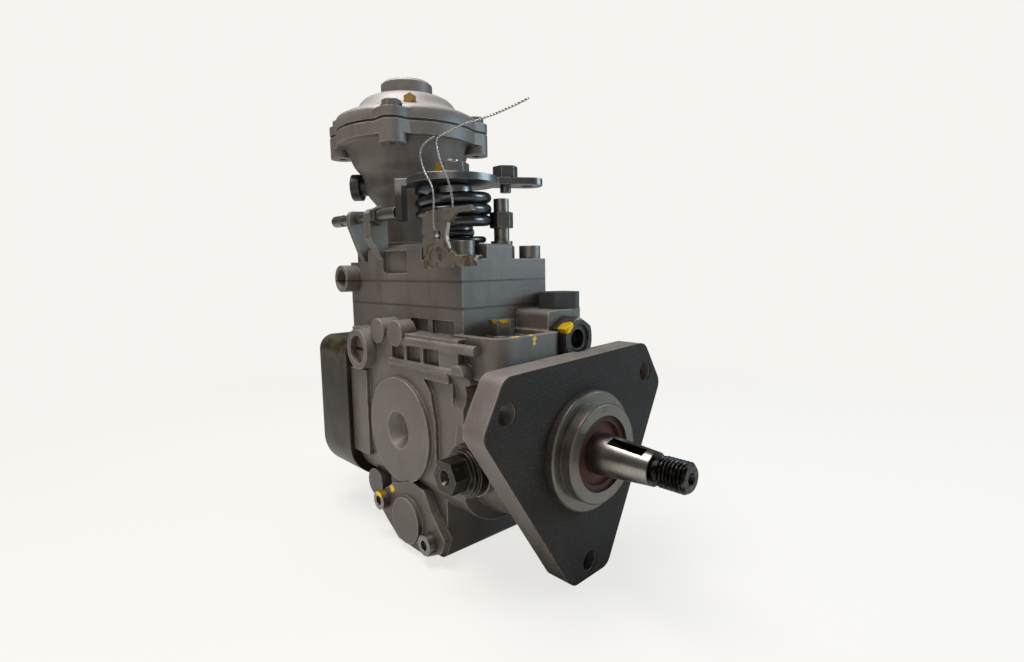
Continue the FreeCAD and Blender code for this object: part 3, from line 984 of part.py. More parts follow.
def accelerator():
    shaft = cyl_z(LEVER_SHAFT_R, 66.0, LEVER_PLATE_Z, LEVER_X, LEVER_Y)
    square = box(LEVER_X - 3.5, LEVER_X + 3.5, LEVER_Y - 3.5, LEVER_Y + 3.5, LEVER_PLATE_Z - 1,
                 LEVER_PLATE_Z + LEVER_PLATE_T)
    stud = cyl_z(3.0, LEVER_PLATE_Z, LEVER_PLATE_Z + 11.0, LEVER_X, LEVER_Y)
    crank = box(LEVER_X - 7.5, LEVER_X + 2, LEVER_Y - 2.5, LEVER_Y + 2.5, 70.5, 74.0)
    crank_pin = cyl_z(1.5, 63.5, 72.0, LEVER_X - CRANK_R, LEVER_Y)
    sleeve = cyl_z(8.5, LEVER_BOSS_TOP + 2.4, LEVER_PLATE_Z - 1.0, LEVER_X, LEVER_Y)
    nut = hexagon(13.0, 6.5, Vector(LEVER_X, LEVER_Y, LEVER_PLATE_Z + LEVER_PLATE_T), Z_AXIS)
    nut = nut.cut(cyl_z(3.0, 100, 130, LEVER_X, LEVER_Y))
    save("lever_shaft", joined([shaft, square, stud, crank, crank_pin, sleeve]), nut)
    ax, ay = polar(1.0, ARM_ANGLE)
    top = LEVER_PLATE_Z + LEVER_PLATE_T
    disc = cyl_z(LEVER_PLATE_R, LEVER_PLATE_Z, top, LEVER_X, LEVER_Y)
    arm = box(0, ARM_LENGTH, -7.0, 7.0, 0, LEVER_PLATE_T)
    arm = rounded(arm, 6.0, lambda c, e: along(e, Z_AXIS) and c.x > 10)
    arm.Placement = Placement(Vector(LEVER_X, LEVER_Y, LEVER_PLATE_Z), Rotation(Z_AXIS, ARM_ANGLE))
    tab_in = -LEVER_PLATE_R - LEVER_TAB_GAP
    tab = box(tab_in - LEVER_PLATE_T, tab_in, -4.5, 4.5, -15.0, LEVER_PLATE_T)
    neck = box(tab_in - LEVER_PLATE_T, 0, -4.5, 4.5, 0, LEVER_PLATE_T)
    for piece in (tab, neck):
        piece.Placement = Placement(Vector(LEVER_X, LEVER_Y, LEVER_PLATE_Z), Rotation(Z_AXIS, 42.0))
    bolt_x = LEVER_X + 24.0 * ax
    bolt_y = LEVER_Y + 24.0 * ay
    plate = joined([disc, arm, tab, neck])
    plate = plate.cut([box(LEVER_X - 3.5, LEVER_X + 3.5, LEVER_Y - 3.5, LEVER_Y + 3.5, 100, 120),
                       cyl_z(3.0, 100, 120, LEVER_X + (ARM_LENGTH - 7) * ax, LEVER_Y + (ARM_LENGTH - 7) * ay),
                       cyl_z(2.5, 100, 120, bolt_x, bolt_y)])
    bolt = joined([cyl_z(2.5, LEVER_PLATE_Z - 3, top, bolt_x, bolt_y), hexagon(10.0, 5.5, Vector(bolt_x, bolt_y, top),
                                                                               Z_AXIS)])
    save("throttle_lever", plate, bolt)
    coils = []
    for z0 in (LEVER_BOSS_TOP + 2.4, LEVER_BOSS_TOP + 13.4):
        coils.append(spring(RETURN_SPRING_R, RETURN_WIRE_R, 3, Vector(LEVER_X, LEVER_Y, z0), Z_AXIS, 10.6))
    save("return_springs", *coils)


def hex_screws():
    """Lock nuts, adjusting screws, the spring post, the tray bolt and the full-load screw's cap."""
    tray_x = -33.5
    tray_y = -16.0
    tray_bolt = joined([hexagon(10.0, 6.8, Vector(tray_x, tray_y, TRAY_FLOOR + 1.5), Z_AXIS),
                        cyl_z(7.0, TRAY_FLOOR, TRAY_FLOOR + 1.5, tray_x, tray_y)])
    post_x = -50.0
    post = joined([cyl_z(3.5, SIDE_WALL_TOP, 106.0, post_x, 0.0),
                   cyl_z(5.0, SIDE_WALL_TOP, SIDE_WALL_TOP + 1.5, post_x, 0.0),
                   hexagon(9.5, 7.0, Vector(post_x, 0.0, 93.0), Z_AXIS)])
    cap = cyl_x(5.7, NECK_REAR, NECK_REAR - 14.0, -22.0, 70.3)
    idle_start = IDLE_SCREW_END - IDLE_SCREW_LENGTH
    idle = joined([cyl_x(IDLE_SCREW_R, idle_start, IDLE_SCREW_END, IDLE_SCREW_Y, IDLE_SCREW_Z),
                   cyl_x(3.0, idle_start, idle_start + 9.0, IDLE_SCREW_Y, IDLE_SCREW_Z),
                   cyl_x(3.0, -98.0, IDLE_SCREW_END, IDLE_SCREW_Y, IDLE_SCREW_Z),
                   hexagon(8.0, 4.0, Vector(LUG_FRONT, IDLE_SCREW_Y, IDLE_SCREW_Z), X_AXIS)])
    save("hex_screws", tray_bolt, post, cap, idle)


def lock_bolt():
    washer_face = LOCK_SEAT - 4.0
    head_face = washer_face - 2.0
    shank = cyl_y(LOCK_BOLT_R, washer_face, -34.0, LOCK_X, LOCK_Z)
    flange = cyl_y(9.3, head_face, washer_face, LOCK_X, LOCK_Z)
    head = hexagon(13.0, 8.0, Vector(LOCK_X, head_face, LOCK_Z), Vector(0, -1, 0))
    dimple = Part.makeCone(3.2, 1.5, 3.0, Vector(LOCK_X, head_face - 8.0, LOCK_Z), Y_AXIS)
    washer = cyl_y(LOCK_WASHER_R, washer_face, LOCK_SEAT, LOCK_X, LOCK_Z)
    washer = washer.cut(cyl_y(LOCK_BOLT_R, -50, -30, LOCK_X, LOCK_Z))
    save("lock_bolt", joined([shank, flange, head]).cut(dimple), washer)


def inlet_cap():
    stem = cyl_z(INLET_STEM_R, INLET_TOP - INLET_STEM, INLET_TOP, INLET_X, INLET_Y)
    head = hexagon(17.0, 7.5, Vector(INLET_X, INLET_Y, INLET_TOP), Z_AXIS)
    save("inlet_cap", joined([stem, head]))


def lock_tag():
    outline = [(-53.7, 75.1), (-20.7, 75.9), (-20.7, 80.0), (-31.0, 80.0), (-36.5, 83.0), (-38.0, 88.0),
               (-36.5, 93.0), (-31.0, 96.5), (-20.7, 96.5), (-22.0, 98.5), (-50.0, 98.5), (-53.7, 97.0)]
    plate = prism_y(outline, TAG_Y - TAG_T / 2, TAG_Y + TAG_T / 2)
    screw_x, screw_y = COVER_SCREWS[0]
    foot = box(screw_x - 3.5, screw_x + 6.0, TAG_Y, screw_y + 6.0, COVER_RIM, COVER_RIM + TAG_T)
    plate = joined([plate, foot])
    plate = plate.cut([cyl_y(TAG_HOLE_R, TAG_Y - 5, TAG_Y + 5, TAG_HOLE_X, TAG_HOLE_Z),
                       cyl_z(SCREW_R, 70, 90, screw_x, screw_y)])
    save("lock_tag", plate)


def seal_wire():
    """Round wire: up both sides of the tag's hole to the knot, then out as a free tail."""
    through = TAG_HOLE_Z + TAG_HOLE_R - WIRE_R
    route = [Vector(-43.5, -43.0, 127.2), Vector(-51.2, -43.0, 125.0), Vector(-49.8, -42.5, 114.8),
             Vector(-42.2, -42.5, 106.7), Vector(-43.3, -42.5, 94.5), Vector(TAG_HOLE_X, -43.6, through),
             Vector(TAG_HOLE_X, -37.2, through), Vector(-38.0, -37.6, 94.5), Vector(-35.8, -38.2, 101.5),
             Vector(-36.5, -39.5, 109.2), Vector(-38.8, -41.0, 115.2), Vector(-40.5, -41.5, 120.4),
             Vector(-42.0, -41.0, 125.2), Vector(-33.7, -40.0, 127.3), Vector(-26.3, -40.0, 128.4),
             Vector(-12.0, -40.0, 128.0), Vector(2.4, -40.0, 129.1), Vector(8.6, -40.0, 129.9)]
    section = Part.Face(Part.Wire(Part.makeCircle(WIRE_R, route[0], route[1] - route[0])))
    tube = arc_route(route).makePipe(section)
    save("seal_wire", tube)


def arc_route(points):
    edges = []
    last = points[0]
    for before, corner, after in zip(points, points[1:], points[2:]):
        first = corner - before
        second = after - corner
        turn = first.getAngle(second)
        cut_back = 0.45 * min(first.Length, second.Length)
        if turn > 1.0:
            cut_back = min(cut_back, 1.8)
        radius = cut_back / math.tan(turn / 2.0)
        unit_in = Vector(first).normalize()
        unit_out = Vector(second).normalize()
        start = corner - unit_in * cut_back
        end = corner + unit_out * cut_back
        inward = (unit_out - unit_in).normalize()
        middle = corner + inward * (radius / math.cos(turn / 2.0) - radius)
        edges.append(Part.LineSegment(last, start).toShape())
        edges.append(Part.Arc(start, middle, end).toShape())
        last = end
    edges.append(Part.LineSegment(last, points[-1]).toShape())
    return Part.Wire(edges)


def main():
    os.makedirs("parts", exist_ok=True)
    pump_housing()
    gaskets_and_seals()
    drive_shaft()
    vane_pump()
    drive_gear()
    governor()
    claw_cross()
    cam_plate()
    plunger()
    plunger_springs()
    roller_ring()
    control_collar()
    governor_levers()
    advance_unit()
    governor_casing()
    socket_screws()
    distributor_head()
    delivery_valves()
    solenoid()
    boost_compensator()
    accelerator()
    hex_screws()
    lock_bolt()
    inlet_cap()
    lock_tag()
    seal_wire()


main()
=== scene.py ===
import math

import bpy
from mathutils import Matrix, Vector


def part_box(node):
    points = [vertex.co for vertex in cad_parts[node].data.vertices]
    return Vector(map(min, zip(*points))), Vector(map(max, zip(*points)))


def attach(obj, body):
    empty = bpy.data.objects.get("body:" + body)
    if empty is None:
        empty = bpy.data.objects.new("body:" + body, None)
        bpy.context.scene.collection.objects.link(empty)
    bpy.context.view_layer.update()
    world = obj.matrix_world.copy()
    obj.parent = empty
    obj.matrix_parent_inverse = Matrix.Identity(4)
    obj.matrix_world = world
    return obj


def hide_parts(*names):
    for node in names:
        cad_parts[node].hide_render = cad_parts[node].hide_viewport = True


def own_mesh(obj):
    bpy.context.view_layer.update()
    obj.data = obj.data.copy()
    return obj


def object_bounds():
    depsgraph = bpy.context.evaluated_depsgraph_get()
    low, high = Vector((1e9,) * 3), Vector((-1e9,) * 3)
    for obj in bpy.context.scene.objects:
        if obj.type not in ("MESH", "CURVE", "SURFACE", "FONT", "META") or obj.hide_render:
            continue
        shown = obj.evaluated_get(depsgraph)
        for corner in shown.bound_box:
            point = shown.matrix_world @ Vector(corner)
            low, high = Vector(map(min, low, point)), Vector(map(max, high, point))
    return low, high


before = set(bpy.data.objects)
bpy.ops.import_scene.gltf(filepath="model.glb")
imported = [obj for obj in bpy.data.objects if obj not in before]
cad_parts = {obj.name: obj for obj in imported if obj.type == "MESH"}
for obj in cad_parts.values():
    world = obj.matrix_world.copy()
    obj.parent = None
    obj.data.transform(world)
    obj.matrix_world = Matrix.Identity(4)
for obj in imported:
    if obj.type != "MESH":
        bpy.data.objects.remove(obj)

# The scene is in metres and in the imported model's frame: the origin is the pilot's centre in the
# gasket's outer face, +X runs out along the drive shaft, +Z is up and -Y is the side with the lock
# bolt. Sizes are written in millimetres and take MM; the lamps and the floor are in metres.

MM = 0.001
CAD_LOW, CAD_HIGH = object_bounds()

# Camera

VIEW_PLACE = Vector((142.3, -173.8, 75.3)) * MM
VIEW_YAW = math.radians(42.99)
VIEW_PITCH = math.radians(6.58)
VIEW_ROLL = math.radians(0.975)
VIEW_LENS = 19.57

# Seal wire: one leg on each side of the tag's hole, and the free tail

WIRE_D = 0.9 * MM
WIRE_PITCH = 3.2 * MM
WIRE_STEP = 0.35 * MM
STRAND_SIDES = 6
LEFT_LEG = [(-43.0, -40.4, 90.0), (-43.0, -42.3, 90.1), (-43.2, -42.7, 94.5), (-42.2, -42.5, 106.7),
            (-49.8, -42.5, 114.8), (-51.2, -43.0, 125.0), (-41.8, -41.9, 126.2)]
RIGHT_LEG = [(-43.0, -39.6, 90.0), (-43.0, -37.4, 90.1), (-38.0, -37.6, 94.5), (-35.8, -38.2, 101.5),
             (-36.5, -39.5, 109.2), (-38.8, -41.0, 115.2), (-40.5, -41.5, 120.4), (-42.0, -41.0, 125.2),
             (-40.5, -40.4, 126.6), (-33.7, -40.0, 127.3), (-26.3, -40.0, 128.4), (-12.0, -40.0, 128.0),
             (2.4, -40.0, 129.1), (8.6, -40.0, 129.9)]


def rest_mode():
    """Object mode with nothing selected."""
    if bpy.context.object and bpy.context.object.mode != "OBJECT":
        bpy.ops.object.mode_set(mode="OBJECT")
    bpy.ops.object.select_all(action="DESELECT")


def pick(obj):
    rest_mode()
    bpy.context.view_layer.objects.active = obj
    obj.select_set(True)


# Shader sockets as values in expressions

class Value:
    """A number or colour socket. Arithmetic on it adds Math nodes."""

    def __init__(self, finish, socket):
        self.finish = finish
        self.socket = socket

    def math(self, operation, *others, swapped=False):
        values = [self] + list(others)
        if swapped:
            values.reverse()
        return self.finish.node("ShaderNodeMath", {"operation": operation}, dict(enumerate(values)))

    def __add__(self, other):
        return self.math("ADD", other)

    def __sub__(self, other):
        return self.math("SUBTRACT", other)

    def __mul__(self, other):
        return self.math("MULTIPLY", other)

    def __rsub__(self, other):
        return self.math("SUBTRACT", other, swapped=True)

    __radd__ = __add__
    __rmul__ = __mul__

    def above(self, edge, soft):
        """0 below edge, 1 above it, with a soft step."""
        return self.finish.node("ShaderNodeMapRange", {"interpolation_type": "SMOOTHSTEP"},
                                {"Value": self, "From Min": edge - soft, "From Max": edge + soft})

    def below(self, edge, soft):
        return 1.0 - self.above(edge, soft)


class Finish:
    """One material: a shader with its maths."""

    def __init__(self, name, colour, roughness, metallic=0.0):
        self.material = bpy.data.materials.new(name)
        self.material.use_nodes = True
        self.tree = self.material.node_tree
        self.shader = self.tree.nodes["Principled BSDF"]
        self.shader.inputs["Base Color"].default_value = (*colour, 1.0)
        self.shader.inputs["Roughness"].default_value = roughness
        self.shader.inputs["Metallic"].default_value = metallic
        self.coordinates = self.node("ShaderNodeTexCoord", {}, {}, "Object")
        self.bump_chain = None

    def node(self, kind, settings, sockets, output=0):
        made = self.tree.nodes.new(kind)
        for name, value in settings.items():
            setattr(made, name, value)
        for key, value in sockets.items():
            target = made.inputs[key]
            if isinstance(value, Value):
                self.tree.links.new(value.socket, target)
            else:
                target.default_value = value
        return Value(self, made.outputs[output])

    def noise(self, size, detail=3.0, stretch=None, distortion=0.0):
        """Cloudy pattern, 0 to 1, whose spots are about size metres across."""
        place = self.coordinates
        if stretch:
            place = self.node("ShaderNodeMapping", {}, {"Vector": place, "Scale": stretch})
        return self.node("ShaderNodeTexNoise", {}, {"Vector": place, "Scale": 1.0 / size, "Detail": detail,
                                                    "Distortion": distortion})

    def axis(self, letter):
        parts = self.node("ShaderNodeSeparateXYZ", {}, {"Vector": self.coordinates})
        return Value(self, parts.socket.node.outputs[letter])

    def away(self, centre):
        """Distance from a point, in metres."""
        return self.node("ShaderNodeVectorMath", {"operation": "DISTANCE"},
                         {0: self.coordinates, 1: Vector(centre) * MM}, "Value")

    def off_axis(self):
        """Distance from the drive shaft's axis, in metres."""
        flat = self.node("ShaderNodeMapping", {}, {"Vector": self.coordinates, "Scale": (0.0, 1.0, 1.0)})
        return self.node("ShaderNodeVectorMath", {"operation": "LENGTH"}, {0: flat}, "Value")

    def rings(self, place, per_metre, detail):
        """Fine turned rings, 0 to 1, that change along place."""
        settings = {"W": place * per_metre, "Detail": detail}
        return self.node("ShaderNodeTexNoise", {"noise_dimensions": "1D"}, settings)

    def corners(self, reach):
        """1 in corners and recesses, 0 on open faces."""
        open_sky = self.node("ShaderNodeAmbientOcclusion", {"samples": 6}, {"Distance": reach}, "AO")
        return 1.0 - open_sky

    def edges(self, radius):
        """1 on edges, 0 further from them than about radius."""
        soft = self.node("ShaderNodeBevel", {"samples": 4}, {"Radius": radius}, "Normal")
        true = self.node("ShaderNodeNewGeometry", {}, {}, "Normal")
        same = self.node("ShaderNodeVectorMath", {"operation": "DOT_PRODUCT"}, {0: soft, 1: true}, "Value")
        return (1.0 - same).above(0.07, 0.06)

    def blend(self, mask, first, second):
        sockets = {0: mask, 6: self.colour(first), 7: self.colour(second)}
        return self.node("ShaderNodeMix", {"data_type": "RGBA"}, sockets, 2)

    def colour(self, value):
        return value if isinstance(value, Value) else (*value, 1.0)

    def mix(self, mask, first, second):
        """Number first where mask is 0 and second where it is 1."""
        return mask * (second - first) + first

    def set(self, name, value):
        if isinstance(value, Value):
            self.tree.links.new(value.socket, self.shader.inputs[name])
        else:
            self.shader.inputs[name].default_value = value

    def soft_edges(self, radius):
        self.bump_chain = self.node("ShaderNodeBevel", {"samples": 4}, {"Radius": radius}, "Normal")
        self.tree.links.new(self.bump_chain.socket, self.shader.inputs["Normal"])

    def bump(self, height, depth, strength=1.0):
        sockets = {"Height": height, "Distance": depth, "Strength": strength}
        if self.bump_chain:
            sockets["Normal"] = self.bump_chain
        self.bump_chain = self.node("ShaderNodeBump", {}, sockets, "Normal")
        self.tree.links.new(self.bump_chain.socket, self.shader.inputs["Normal"])


# Paints and metals

PAINT = (0.082, 0.066, 0.055)
PAINT_LIGHT = (0.175, 0.158, 0.144)
SEAM_LEVELS = (58.0, 69.4)
# Dark brown for real dirt streaks and dark seams, and for painted shade in corners and towards the bottom.
GRIME_AND_SHADE = (0.018, 0.012, 0.008)
MARK_YELLOW = (0.70, 0.43, 0.01)
BOLT_MARKS = [((-30.4, -18.6, 53.3), 1.6), ((-32.2, -20.6, 53.2), 1.5), ((-29.2, -16.5, 52.8), 1.3)]
TRAY_MARKS = [((-20.2, -25.8, 47.5), 1.2), ((-19.0, -24.0, 47.5), 1.4), ((-18.0, -22.0, 47.5), 1.3),
              ((-17.2, -14.6, 47.5), 1.2), ((-16.0, -13.9, 46.0), 1.2), ((-16.0, -13.8, 44.2), 0.9)]
RUST = (0.045, 0.022, 0.012)
SHAFT_TAPER = 0.0816
KEYWAY_SHADE_R = 8.9
KEYWAY_SHADE_FROM = 9.5
NECK_SHADE_FROM = 32.6


def shaded(colour, share):
    """The colour made darker or lighter, with no part above 1."""
    return tuple(min(1, part * share) for part in colour)


def yellow_marks(finish, colour, marks):
    """Brushed paint marks at the given points, each with its radius in millimetres."""
    rough = finish.noise(2.2 * MM) * (1.6 * MM)
    for centre, radius in marks:
        mask = (finish.away(centre) + rough).below((radius + 0.8) * MM, 0.15 * MM)
        colour = finish.blend(mask, colour, MARK_YELLOW)
    return colour


def cast_paint(name, marks=()):
    """Warm grey paint over a cast skin, darker in corners and towards the bottom with painted shade, and
    pale on edges and on upward faces high up with painted highlights.
    """
    finish = Finish(name, PAINT, 0.5)
    finish.soft_edges(0.5 * MM)
    cloud = finish.noise(22 * MM, 4.0)
    speck = finish.noise(1.3 * MM, 3.0)
    shade = cloud.above(0.5, 0.3)
    colour = finish.blend(shade * 0.5, PAINT, PAINT_LIGHT)
    colour = finish.blend(speck.above(0.66, 0.08) * 0.35, colour, PAINT_LIGHT)
    # Darker in corners and recesses, in patches: painted shade.
    corner_shade = finish.corners(5 * MM).above(0.45, 0.3) * (0.35 + cloud * 0.8)
    colour = finish.blend(corner_shade, colour, GRIME_AND_SHADE)
    streak = finish.noise(9 * MM, 3.0, (1.0, 1.0, 0.25)).above(0.62, 0.1)
    colour = finish.blend(streak * 0.3, colour, GRIME_AND_SHADE)
    # Darker towards the bottom: painted shade.
    low = finish.axis("Z").below(-22 * MM, 26 * MM)
    colour = finish.blend(low * 0.62, colour, GRIME_AND_SHADE)
    # Pale patches along edges: a painted highlight.
    edge_highlight = finish.edges(0.9 * MM) * finish.noise(3.0 * MM, 3.0).above(0.40, 0.15)
    colour = finish.blend(edge_highlight * 0.7, colour, (0.40, 0.37, 0.34))
    # Upward faces high on the pump made paler: painted light from above.
    facing = finish.node("ShaderNodeNewGeometry", {}, {}, "Normal")
    up = finish.node("ShaderNodeSeparateXYZ", {}, {"Vector": facing}, 2)
    top_highlight = up.above(0.55, 0.4) * finish.axis("Z").above(80 * MM, 60 * MM)
    colour = finish.blend(top_highlight * 0.6, colour, (0.30, 0.285, 0.27))
    for level in SEAM_LEVELS:
        line = (finish.axis("Z") - level * MM).math("ABSOLUTE").below(0.5 * MM, 0.35 * MM)
        colour = finish.blend(line * 0.85, colour, GRIME_AND_SHADE)
    finish.set("Base Color", yellow_marks(finish, colour, marks))
    finish.set("Roughness", finish.mix(cloud, 0.36, 0.58))
    finish.set("Specular IOR Level", 0.6)
    finish.bump(finish.noise(0.9 * MM, 2.0) + finish.noise(4.0 * MM, 2.0) * 1.4, 0.10 * MM, 0.7)
    return finish


def housing_paint(name, marks=()):
    """Cast paint, with the pilot and nose machined bright in fine rings about the shaft."""
    finish = cast_paint(name, marks)
    painted = finish.shader.inputs["Base Color"].links[0].from_socket
    rough = finish.shader.inputs["Roughness"].links[0].from_socket
    bright = finish.axis("X").above(-0.7 * MM, 0.1 * MM)
    rings = finish.rings(finish.off_axis(), 4200.0, 2.0)
    stain = finish.noise(7 * MM, 3.0).above(0.6, 0.12)
    metal = finish.blend(rings, (0.075, 0.066, 0.055), (0.17, 0.155, 0.14))
    metal = finish.blend(stain * 0.5, metal, (0.08, 0.06, 0.045))
    finish.set("Base Color", finish.blend(bright, Value(finish, painted), metal))
    finish.set("Metallic", bright * 0.85)
    finish.set("Roughness", finish.mix(bright, Value(finish, rough), rings * 0.15 + 0.28))
    return finish


def black_steel(name, colour=(0.018, 0.017, 0.016), roughness=0.38, marks=()):
    """Black oxide steel, greyer in worn patches, with painted highlights on its edges."""
    finish = Finish(name, colour, roughness, 0.85)
    finish.soft_edges(0.3 * MM)
    rub = finish.noise(2.5 * MM, 4.0).above(0.58, 0.12)
    tone = finish.blend(rub * 0.5, colour, (0.10, 0.09, 0.08))
    # Paler edges: a painted highlight.
    tone = finish.blend(finish.edges(0.6 * MM) * 0.8, tone, (0.20, 0.18, 0.16))
    finish.set("Base Color", yellow_marks(finish, tone, marks))
    finish.set("Roughness", finish.mix(finish.noise(1.2 * MM), roughness - 0.08, roughness + 0.14))
    finish.bump(finish.noise(0.7 * MM), 0.04 * MM, 0.5)
    return finish


def bright_zinc(name, colour, roughness, marks=(), rusty=False, edges=0.3, dark_below=None):
    """Zinc plated steel with white bloom, painted shade in corners, painted highlights on edges and rust
    where asked.
    """
    finish = Finish(name, colour, roughness, 0.9)
    finish.soft_edges(edges * MM)
    bloom = finish.noise(3.0 * MM, 4.0)
    tone = finish.blend(bloom.above(0.5, 0.2) * 0.5, colour, shaded(colour, 1.45))
    # Darker in corners and recesses: painted shade.
    tone = finish.blend(finish.corners(2.5 * MM).above(0.5, 0.3) * 0.8, tone, GRIME_AND_SHADE)
    # Paler edges: a painted highlight.
    tone = finish.blend(finish.edges(0.5 * MM) * 0.5, tone, (0.46, 0.45, 0.43))
    if rusty:
        low_down = finish.axis("Z").below(87 * MM, 9 * MM) * 0.12
        patches = (finish.noise(4.5 * MM, 5.0, distortion=0.8) + low_down).above(0.68, 0.02)
        rim = (finish.noise(4.5 * MM, 5.0, distortion=0.8) + low_down).above(0.63, 0.05)
        tone = finish.blend(rim * 0.6, tone, (0.15, 0.10, 0.05))
        tone = finish.blend(patches, tone, RUST)
        finish.set("Metallic", 0.9 - patches * 0.8)
        finish.set("Roughness", finish.mix(patches, roughness, 0.8))
    if dark_below:
        low = finish.axis("Z").below(dark_below * MM, 2.5 * MM)
        tone = finish.blend(low, tone, (0.008, 0.008, 0.008))
        finish.set("Metallic", 0.9 - low * 0.6)
    finish.set("Base Color", yellow_marks(finish, tone, marks))
    finish.bump(finish.noise(0.8 * MM), 0.03 * MM, 0.5)
    return finish


def head_steel(name):
    """Thick dark oxide on the distributor head, with pale streaks down its sides that are painted
    highlights.
    """
    finish = Finish(name, (0.045, 0.036, 0.028), 0.42, 0.75)
    finish.soft_edges(0.8 * MM)
    # Pale vertical streaks: painted highlights.
    cloud = finish.noise(11 * MM, 4.0, (0.5, 1.0, 0.25))
    tone = finish.blend(cloud.above(0.55, 0.15), (0.018, 0.013, 0.009), (0.075, 0.062, 0.048))
    top = finish.axis("Z").above(28 * MM, 14 * MM) * finish.noise(5 * MM).above(0.45, 0.15)
    tone = finish.blend(top * 0.5, tone, (0.17, 0.14, 0.07))
    finish.set("Base Color", tone)
    finish.set("Roughness", finish.mix(cloud, 0.3, 0.55))
    finish.bump(finish.noise(1.2 * MM), 0.06 * MM, 0.6)
    return finish


def gasket_sheet(name):
    """Pressed charcoal fibre with paler mottling and a fine grain."""
    finish = Finish(name, (0.02, 0.021, 0.022), 0.75)
    finish.set("Specular IOR Level", 0.22)
    patch = finish.noise(12 * MM, 6.0, distortion=0.4).above(0.52, 0.16)
    fibre = finish.noise(0.7 * MM, 2.0)
    tone = finish.blend(patch * 0.8, (0.0088, 0.0074, 0.0064), (0.024, 0.020, 0.0175))
    tone = finish.blend(fibre.above(0.6, 0.1) * 0.5, tone, (0.052, 0.045, 0.039))
    tone = finish.blend(finish.axis("X").below(-0.15 * MM, 0.1 * MM) * 0.7, tone, (0.045, 0.042, 0.036))
    finish.set("Base Color", tone)
    finish.set("Roughness", finish.mix(patch, 0.62, 0.85))
    finish.bump(fibre, 0.05 * MM, 0.7)
    return finish


def seal_rubber(name):
    finish = Finish(name, (0.05, 0.02, 0.012), 0.55)
    finish.set("Specular IOR Level", 0.2)
    tone = finish.blend(finish.noise(3 * MM, 4.0), (0.030, 0.012, 0.008), (0.075, 0.026, 0.016))
    finish.set("Base Color", tone)
    finish.bump(finish.noise(0.9 * MM), 0.05 * MM, 0.5)
    return finish


def shaft_steel(name):
    """Ground steel with turning rings; a painted shadow in the keyway, and black on the neck and on the
    thread.
    """
    finish = Finish(name, (0.42, 0.40, 0.38), 0.26, 1.0)
    along = finish.axis("X")
    rings = finish.rings(along, 2600.0, 3.0)
    cloud = finish.noise(6 * MM, 4.0)
    tone = finish.blend(rings * 0.6 + cloud * 0.3, (0.15, 0.135, 0.12), (0.40, 0.38, 0.35))
    surface = finish.off_axis() + along * SHAFT_TAPER
    # Dark floor in the keyway: a painted shadow.
    keyway_shadow = surface.below(KEYWAY_SHADE_R * MM, 0.15 * MM) * along.above(KEYWAY_SHADE_FROM * MM, 0.5 * MM)
    tone = finish.blend(keyway_shadow, tone, (0.012, 0.010, 0.008))
    dark = along.above(NECK_SHADE_FROM * MM, 0.3 * MM)
    worn = finish.noise(1.6 * MM, 3.0).above(0.56, 0.1)
    black = finish.blend(worn * 0.35, (0.012, 0.011, 0.010), (0.13, 0.12, 0.11))
    finish.set("Base Color", finish.blend(dark, tone, black))
    finish.set("Roughness", finish.mix(dark, rings * 0.16 + keyway_shadow * 0.3 + 0.2, 0.36))
    finish.bump(rings, 0.015 * MM, 0.5)
    return finish


def spring_black(name):
    """Glossy black varnish on spring wire."""
    finish = Finish(name, (0.008, 0.008, 0.009), 0.22, 0.0)
    finish.set("Specular IOR Level", 0.8)
    chip = finish.noise(1.8 * MM, 4.0).above(0.68, 0.03)
    finish.set("Base Color", finish.blend(chip, (0.008, 0.008, 0.009), (0.07, 0.05, 0.035)))
    finish.set("Roughness", finish.mix(finish.noise(2 * MM), 0.14, 0.34))
    return finish


def plain_metal(name, colour, roughness=0.35):
    finish = Finish(name, colour, roughness, 1.0)
    cloud = finish.noise(4 * MM, 4.0)
    finish.set("Base Color", finish.blend(cloud, shaded(colour, 0.7), shaded(colour, 1.25)))
    finish.set("Roughness", finish.mix(cloud, roughness - 0.07, roughness + 0.1))
    finish.bump(finish.noise(0.8 * MM), 0.02 * MM, 0.4)
    return finish


def plain_dull(name, colour, roughness=0.6):
    finish = Finish(name, colour, roughness)
    cloud = finish.noise(3 * MM, 4.0)
    finish.set("Base Color", finish.blend(cloud, shaded(colour, 0.7), shaded(colour, 1.4)))
    finish.bump(finish.noise(0.9 * MM), 0.04 * MM, 0.5)
    return finish


